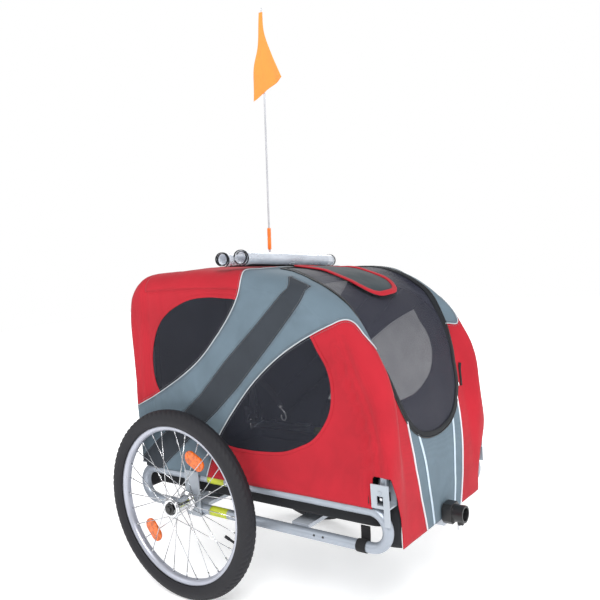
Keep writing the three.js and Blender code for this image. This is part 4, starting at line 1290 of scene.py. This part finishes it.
FRONT_LEG = [
    (579, 338), (581, 372), (586, 450), (579, 530), (558, 610), (525, 673), (480, 721), (422, 758),
    (340, 785), (262, 798),
]
REAR_LEG = [(-168, 338), (-168, 380), (-140, 822)]
FRONT_REACH = 234.5
REAR_REACH = 213.0
HOOP_CORNER = 60.0
HOOP_R = 10.0


def build_hoop(name, leg, reach, node):
    leg = np.array(leg, float)
    ahead = leg[-1] - leg[-2]
    ahead /= np.linalg.norm(ahead)
    turn_start = leg[-1] - ahead * HOOP_CORNER
    half = [(x, -reach, z) for x, z in curve(list(leg[:-1]) + [turn_start], 12)]
    for turn in np.radians(np.arange(9, 91, 9)):
        x, z = turn_start + ahead * HOOP_CORNER * math.sin(turn)
        half.append((x, -reach + HOOP_CORNER * (1 - math.cos(turn)), z))
    path = half + [(x, -y, z) for x, y, z in half[::-1]]
    bow = sweep(path, ring(HOOP_R, 24))
    piece(name, bow, "aluminium", node, [node])


# ---- wheels -------------------------------------------------------------------------------------
WHEEL_Y = 294.0
WHEEL_Z = 250.0
TYRE_CENTRE = 226.5
TYRE_SECTION = 23.5
FLANGE_Y = 28.0
VALVE_ANGLE = -20
SPOKE_HOLE_R = 23.0
NIPPLE_R = 196.5
REFLECTOR_R = 140.0
REFLECTOR_HALF = 14
REFLECTOR_END_R = 19


def tyre(centre, side):
    """A tyre with a block tread: angled side blocks and two centre grooves."""
    around = 504
    blocks = 84
    turn = np.linspace(0, 2 * math.pi, around, endpoint=False)[:, None]
    lean = np.radians(np.linspace(-140, 140, 49))[None, :]
    tread = 1 - smoothstep(np.abs(lean), math.radians(50), math.radians(60))
    phase = turn * blocks + 7.0 * lean * np.sign(lean)
    across = smoothstep(np.cos(phase), 0.25, 0.7) * smoothstep(np.abs(lean), 0.16, 0.26)
    centre_groove = ridge(np.abs(lean) - 0.22, 0.05)
    shallow = smoothstep(np.cos(turn * blocks * 2), 0.4, 0.8) * (np.abs(lean) < 0.15)
    sipe = np.maximum(np.maximum(across, centre_groove), 0.5 * shallow)
    rib = 0.5 * ridge(np.abs(lean) - math.radians(96), 0.03)
    rib = rib + 0.6 * ridge(np.abs(lean) - math.radians(122), 0.05)
    outer = TYRE_SECTION - 1.5 * tread * sipe - 0.7 * (1 - tread) + rib
    inner_lean = np.radians(np.linspace(140, -140, 13))[None, :]
    inner = np.full((around, 13), TYRE_SECTION - 4.0)
    lean_all = np.hstack([np.repeat(lean, around, 0), np.repeat(inner_lean, around, 0)])
    section = np.hstack([outer, inner])
    radius = TYRE_CENTRE + section * np.cos(lean_all)
    out = section * np.sin(lean_all)
    points = np.stack(
        [centre[0] + radius * np.cos(turn), centre[1] + side * out, centre[2] + radius * np.sin(turn)], -1
    )
    return points.reshape(-1, 3), wheel_faces(around, points.shape[1], side)


RIM_SECTION = [
    (196.6, -6), (196, -3), (196, 3), (196.6, 6), (199, 9.4), (202.5, 12.2), (204, 12.5), (208.6, 12.5),
    (209.5, 12.0), (209.5, 11.2), (208.6, 10.7), (205, 10.7), (203.4, 8.5), (202, 3), (202, -3),
    (203.4, -8.5), (205, -10.7), (208.6, -10.7), (209.5, -11.2), (209.5, -12.0), (208.6, -12.5),
    (204, -12.5), (202.5, -12.2), (199, -9.4),
]
HUB_SECTION = [
    (6.3, -37), (13, -37), (14, -36), (14, -30.4), (16, -30), (26.2, -30), (27, -29.2), (27, -26.8),
    (26.2, -26), (21, -25), (18, -22.5), (17, -19), (16.4, -12), (16.2, 0), (16.4, 12), (17, 19),
    (18, 22.5), (21, 25), (26.2, 26), (27, 26.8), (27, 29.2), (26.6, 30), (24.4, 30.4), (24, 31),
    (24, 32.6), (23.2, 33.6), (17.5, 33.6), (16.6, 32.8), (6.3, 32.8),
]


def on_wheel(centre, side, radius, degrees, out):
    turn = math.radians(degrees)
    x, z = radius * math.cos(turn), radius * math.sin(turn)
    return np.array([centre[0] + x, centre[1] + side * out, centre[2] + z])


def spoke_set(centre, side, flange):
    """14 spokes of one hub flange, each with a head and a nipple. flange is +1 for the outboard one."""
    spokes_per_side = 14
    reach = 51.4
    parts = []
    for k in range(spokes_per_side):
        hole_angle = 360 * (k + (0 if flange > 0 else 0.5)) / spokes_per_side
        rim_angle = hole_angle + (reach if k % 2 else -reach)
        over = flange * (FLANGE_Y + (2.6 if k % 2 else -2.6))
        hole = on_wheel(centre, side, SPOKE_HOLE_R, hole_angle, over)
        seat = on_wheel(centre, side, NIPPLE_R, rim_angle, flange * 2.0)
        way = (seat - hole) / np.linalg.norm(seat - hole)
        parts.append(bar(hole, seat, 1.05, 8))
        parts.append(bar(seat - way * 13, seat, 2.1, 8))
        parts.append(bar(hole, on_wheel(centre, side, SPOKE_HOLE_R, hole_angle, flange * FLANGE_Y), 1.9, 8))
    return merge(*parts)


def reflector(centre, side, degrees):
    """A rounded wheel reflector, clipped in the gap between the outer and the inner spokes."""
    # Each layer's place along the axle, and how far its outline is drawn in.
    layers = ((-3.3, 1.5), (-2.6, 0.4), (-1.0, 0.0), (1.0, 0.0), (2.4, 0.4), (3.0, 1.2), (3.3, 2.6))
    turn = math.radians(degrees)
    outward = np.array([math.cos(turn), 0, math.sin(turn)])
    sideways = np.array([-math.sin(turn), 0, math.cos(turn)])
    base = on_wheel(centre, side, REFLECTOR_R, degrees, 0)
    rows = []
    for out, inset in layers:
        radius = REFLECTOR_END_R - inset
        outline = arc(REFLECTOR_HALF, 0, radius, -90, 90, 14) + arc(-REFLECTOR_HALF, 0, radius, 90, 270, 14)
        rows.append([base + sideways * a + outward * b + np.array([0, side * out, 0]) for a, b in outline])
    count = len(rows[0])
    faces = grid(len(rows), count, closed=True)
    faces.append(list(range(count))[::-1])
    faces.append([(len(rows) - 1) * count + j for j in range(count)])
    return np.array(rows).reshape(-1, 3), faces


def build_wheel(name, side):
    centre = (0.0, side * WHEEL_Y, WHEEL_Z)
    body = "wheel_" + name
    piece("tread_" + name, tyre(centre, side), "rubber", body, ["tyre_" + name])
    rim = lathe(RIM_SECTION, 180, centre, side)
    piece("alloy_rim_" + name, rim, "rim", body, ["rim_" + name])
    hub = lathe(HUB_SECTION, 64, centre, side)
    piece("hub_shell_" + name, hub, "polished", body, ["hub_" + name])
    for label, flange in (("outer", 1), ("inner", -1)):
        node = label + "_spokes_" + name
        spokes = spoke_set(centre, side, flange)
        piece(label + "_lacing_" + name, spokes, "steel", body, [node])
    for label, degrees in (("upper", 62), ("lower", -141)):
        node = label + "_reflector_" + name
        prism = reflector(centre, side, degrees)
        piece(label + "_prism_" + name, prism, "reflector", body, [node])
    tube = lathe([(TYRE_CENTRE + 15 * a, 15 * b) for a, b in ring(1.0, 20)], 120, centre, side)
    valve = [on_wheel(centre, side, radius, VALVE_ANGLE, 0) for radius in (214, 172, 176, 163)]
    stem = bar(*valve[:2], 3.2, 16)
    cap = bar(*valve[2:], 4.0, 16)
    piece("tube_" + name, merge(tube, stem, cap), "rubber", body, ["inner_tube_" + name])
    shaft = [(0.01, -98), (4.5, -98), (6, -96), (6, 35.0), (0.01, 35.0)]
    head = [
        (6.1, 34.6), (14, 34.6), (15, 35.4), (15, 38.2), (14.2, 39), (8.6, 39), (7.9, 38.2),
        (7.9, 35.4), (6.1, 35.4),
    ]
    axle = "axle_" + name
    piece("quick_axle_" + name, lathe(shaft, 48, centre, side), "polished", axle, [axle])
    piece("axle_head_" + name, lathe(head, 48, centre, side), "plastic", axle)


# ---- safety flag --------------------------------------------------------------------------------
POLE_Y = 262.0
POLE_LEAN = math.radians(2.72)
POLE_SLOPE = 0.0475
POLE_FOOT = (-116, 322)
POLE_TOP = 1294


def on_pole(distance):
    x, z = POLE_FOOT
    return np.array([x + distance * math.sin(POLE_LEAN), POLE_Y, z + distance * math.cos(POLE_LEAN)])


def build_flag():
    stops = [0, 300, 631, 633, 900, POLE_TOP, 1302, 1308]
    widths = [1, 1, 1, 0.82, 0.8, 0.8, 0.75, 0.4]
    pole = sweep([on_pole(d) for d in stops], ring(3.5, 20), scale=widths)
    piece("pole", pole, "white", "flag", ["flag_pole"])
    stops = [563, 564.5, 567, 600, 603, 606, 628, 631, 632]
    widths = [4.4, 5.6, 6.0, 6.0, 5.2, 6.0, 6.0, 5.4, 4.4]
    ferrule = sweep([on_pole(d) for d in stops], ring(1.0, 24), scale=widths)
    piece("ferrule", ferrule, "orange", "flag", ["flag_ferrule"])
    left = curve([(-7, 0), (-20, -90), (-48, -190), (-52, -262)], 6)
    right = curve([(6, 0), (8, -60), (34, -134), (68, -208)], 6)
    rows, columns = 60, 26
    share = np.linspace(0, 1, rows)
    top = on_pole(POLE_TOP)
    points = []
    for t in share:
        a = np.array([np.interp(t, np.linspace(0, 1, len(left)), left[:, k]) for k in (0, 1)])
        b = np.array([np.interp(t, np.linspace(0, 1, len(right)), right[:, k]) for k in (0, 1)])
        for u in np.linspace(0, 1, columns):
            x, z = a + (b - a) * u
            free = abs(x - POLE_SLOPE * z) / 60
            wave = 5.0 * free * math.sin(x / 13.0 + z / 30.0)
            points.append((top[0] + x, POLE_Y - 4.5 + wave, top[2] + z))
    cloth = (points, grid(rows, columns))
    piece("pennant", cloth, "flag", "flag", ["flag_pennant"], 0.8)


# ---- CAD nodes that stay ------------------------------------------------------------------------
def dress(node, material, bevel):
    """Keeps a CAD node, with soft edges and a material of its own."""
    obj = bpy.data.objects[node]
    obj.data.materials.clear()
    obj.data.materials.append(mats[material])
    for polygon in obj.data.polygons:
        polygon.use_smooth = True
    weld = obj.modifiers.new("weld", "WELD")
    weld.merge_threshold = 0.02 * MM
    edge = obj.modifiers.new("edges", "BEVEL")
    edge.width = bevel * MM
    edge.segments = 2
    edge.limit_method = "ANGLE"
    edge.angle_limit = math.radians(32)
    edge.harden_normals = False
    shade = obj.modifiers.new("shading", "WEIGHTED_NORMAL")
    shade.keep_sharp = True


def dress_cad():
    for name, _ in SIDES:
        for node in ("axle_bracket_", "front_hoop_bracket_", "rear_hoop_bracket_"):
            dress(node + name, "bracket", 0.8)
        dress("front_snap_button_" + name, "polished", 0.8)
        dress("rear_snap_button_" + name, "polished", 0.8)
        dress("release_button_" + name, "plastic", 0.8)
    # The cross bars and drawbar get the lighter bar material: painted light under the tub.
    for node in ("front_cross_bar", "axle_cross_bar", "drawbar"):
        dress(node, "bar", 1.2)
    dress("floor_board", "board", 1.5)
    dress("hitch_receiver", "plastic", 1.0)
    dress("hitch_pin", "polished", 1.2)
    dress("flag_socket", "plastic", 0.8)
    dress("zip_pull", "strap", 0.6)


def build_all():
    build_piping()
    build_door_binding()
    build_window_hems()
    build_stitching()
    build_front_stripes()
    build_pull_tabs()
    build_vent_flap()
    front = {"x": 198, "z": 861, "radius": 19.5, "reach": (-212, 174), "slope": 0.083, "turns": 1.6}
    build_roll("front_rain_cover", "front_rain_roll", **front)
    rear = {"x": 158, "z": 860.5, "radius": 18.0, "reach": (-236, 200), "slope": 0.066, "turns": 2.0}
    build_roll("rear_rain_cover", "rear_rain_roll", **rear)
    build_tub()
    build_corner_linings()
    build_rail_tape()
    build_rail_straps()
    build_rail_plugs()
    build_leash()
    build_loops()
    build_hoop("front_bow", FRONT_LEG, FRONT_REACH, "front_hoop")
    build_hoop("rear_bow", REAR_LEG, REAR_REACH, "rear_hoop")
    for name, side in SIDES:
        build_wheel(name, side)
    build_flag()
    dress_cad()


build_all()


# ---- floor, lights and camera -------------------------------------------------------------------
def build_light(name, place, target, size, power, color=(1, 1, 1)):
    data = bpy.data.lights.new(name, "AREA")
    data.shape = "DISK"
    data.size = size
    data.energy = power
    data.color = color
    light = bpy.data.objects.new(name, data)
    bpy.context.scene.collection.objects.link(light)
    light.location = place
    light.rotation_euler = (Vector(target) - Vector(place)).to_track_quat("-Z", "Y").to_euler()


CAMERA_ANGLES = (36.7, -5.0, -3.9)
CAMERA_PLACE = (1367, -1548, 919)
CAMERA_LENS = 43.36


def build_camera():
    azimuth, elevation, roll = [math.radians(angle) for angle in CAMERA_ANGLES]
    level_reach = math.cos(elevation)
    forward = Vector(
        (-math.sin(azimuth) * level_reach, math.cos(azimuth) * level_reach, math.sin(elevation))
    )
    level = Vector((math.cos(azimuth), math.sin(azimuth), 0))
    upright = level.cross(forward)
    right = math.cos(roll) * level + math.sin(roll) * upright
    up = -math.sin(roll) * level + math.cos(roll) * upright
    data = bpy.data.cameras.new("camera")
    data.lens = CAMERA_LENS
    data.sensor_width = 36.0
    camera = bpy.data.objects.new("camera", data)
    bpy.context.scene.collection.objects.link(camera)
    place = to_row(CAMERA_PLACE)
    camera.matrix_world = Matrix((
        (right.x, up.x, -forward.x, place[0]),
        (right.y, up.y, -forward.y, place[1]),
        (right.z, up.z, -forward.z, place[2]),
        (0, 0, 0, 1),
    ))
    bpy.context.scene.camera = camera


STUDIO_LIGHT = 0.44


def build_studio():
    bpy.ops.mesh.primitive_plane_add(size=14.0)
    floor = bpy.context.object
    floor.name = "floor"
    paper = Shader("floor_paper")
    grain = paper.noise(60.0, 3.0)
    tint = paper.mix(paper.ramp(grain, 0.3, 0.7), (0.90, 0.905, 0.91, 1), (0.93, 0.935, 0.94, 1))
    away = paper.add("ShaderNodeVectorMath", {0: (paper.place, "Object")}, operation="LENGTH")
    glow = paper.ramp((away, "Value"), 1.0, 3.2, 0.42, 0.9)
    looks = {"Base Color": tint, "Roughness": 0.85, "Emission Color": (1, 1, 1, 1)}
    floor.data.materials.append(paper.finish({**looks, "Emission Strength": glow}))
    world = bpy.data.worlds.new("studio")
    world.use_nodes = True
    background = world.node_tree.nodes["Background"]
    background.inputs["Color"].default_value = (1.0, 1.0, 1.0, 1)
    path = world.node_tree.nodes.new("ShaderNodeLightPath")
    level = world.node_tree.nodes.new("ShaderNodeMapRange")
    level.inputs["To Min"].default_value = STUDIO_LIGHT
    level.inputs["To Max"].default_value = 1.0
    world.node_tree.links.new(path.outputs["Is Camera Ray"], level.inputs["Value"])
    world.node_tree.links.new(level.outputs["Result"], background.inputs["Strength"])
    bpy.context.scene.world = world
    build_light("key", (2.2, -2.6, 3.4), (0, 0, 0.4), 2.0, 150)
    build_light("fill", (-2.6, -2.4, 2.2), (0, 0, 0.5), 2.6, 30)
    build_light("rim", (-1.5, 3.0, 2.8), (0, 0, 0.6), 2.4, 46)
    build_light("front", (3.4, 0.8, 1.6), (0, 0, 0.5), 2.0, 26)
    bpy.context.scene.view_settings.view_transform = "Standard"


build_studio()
build_camera()
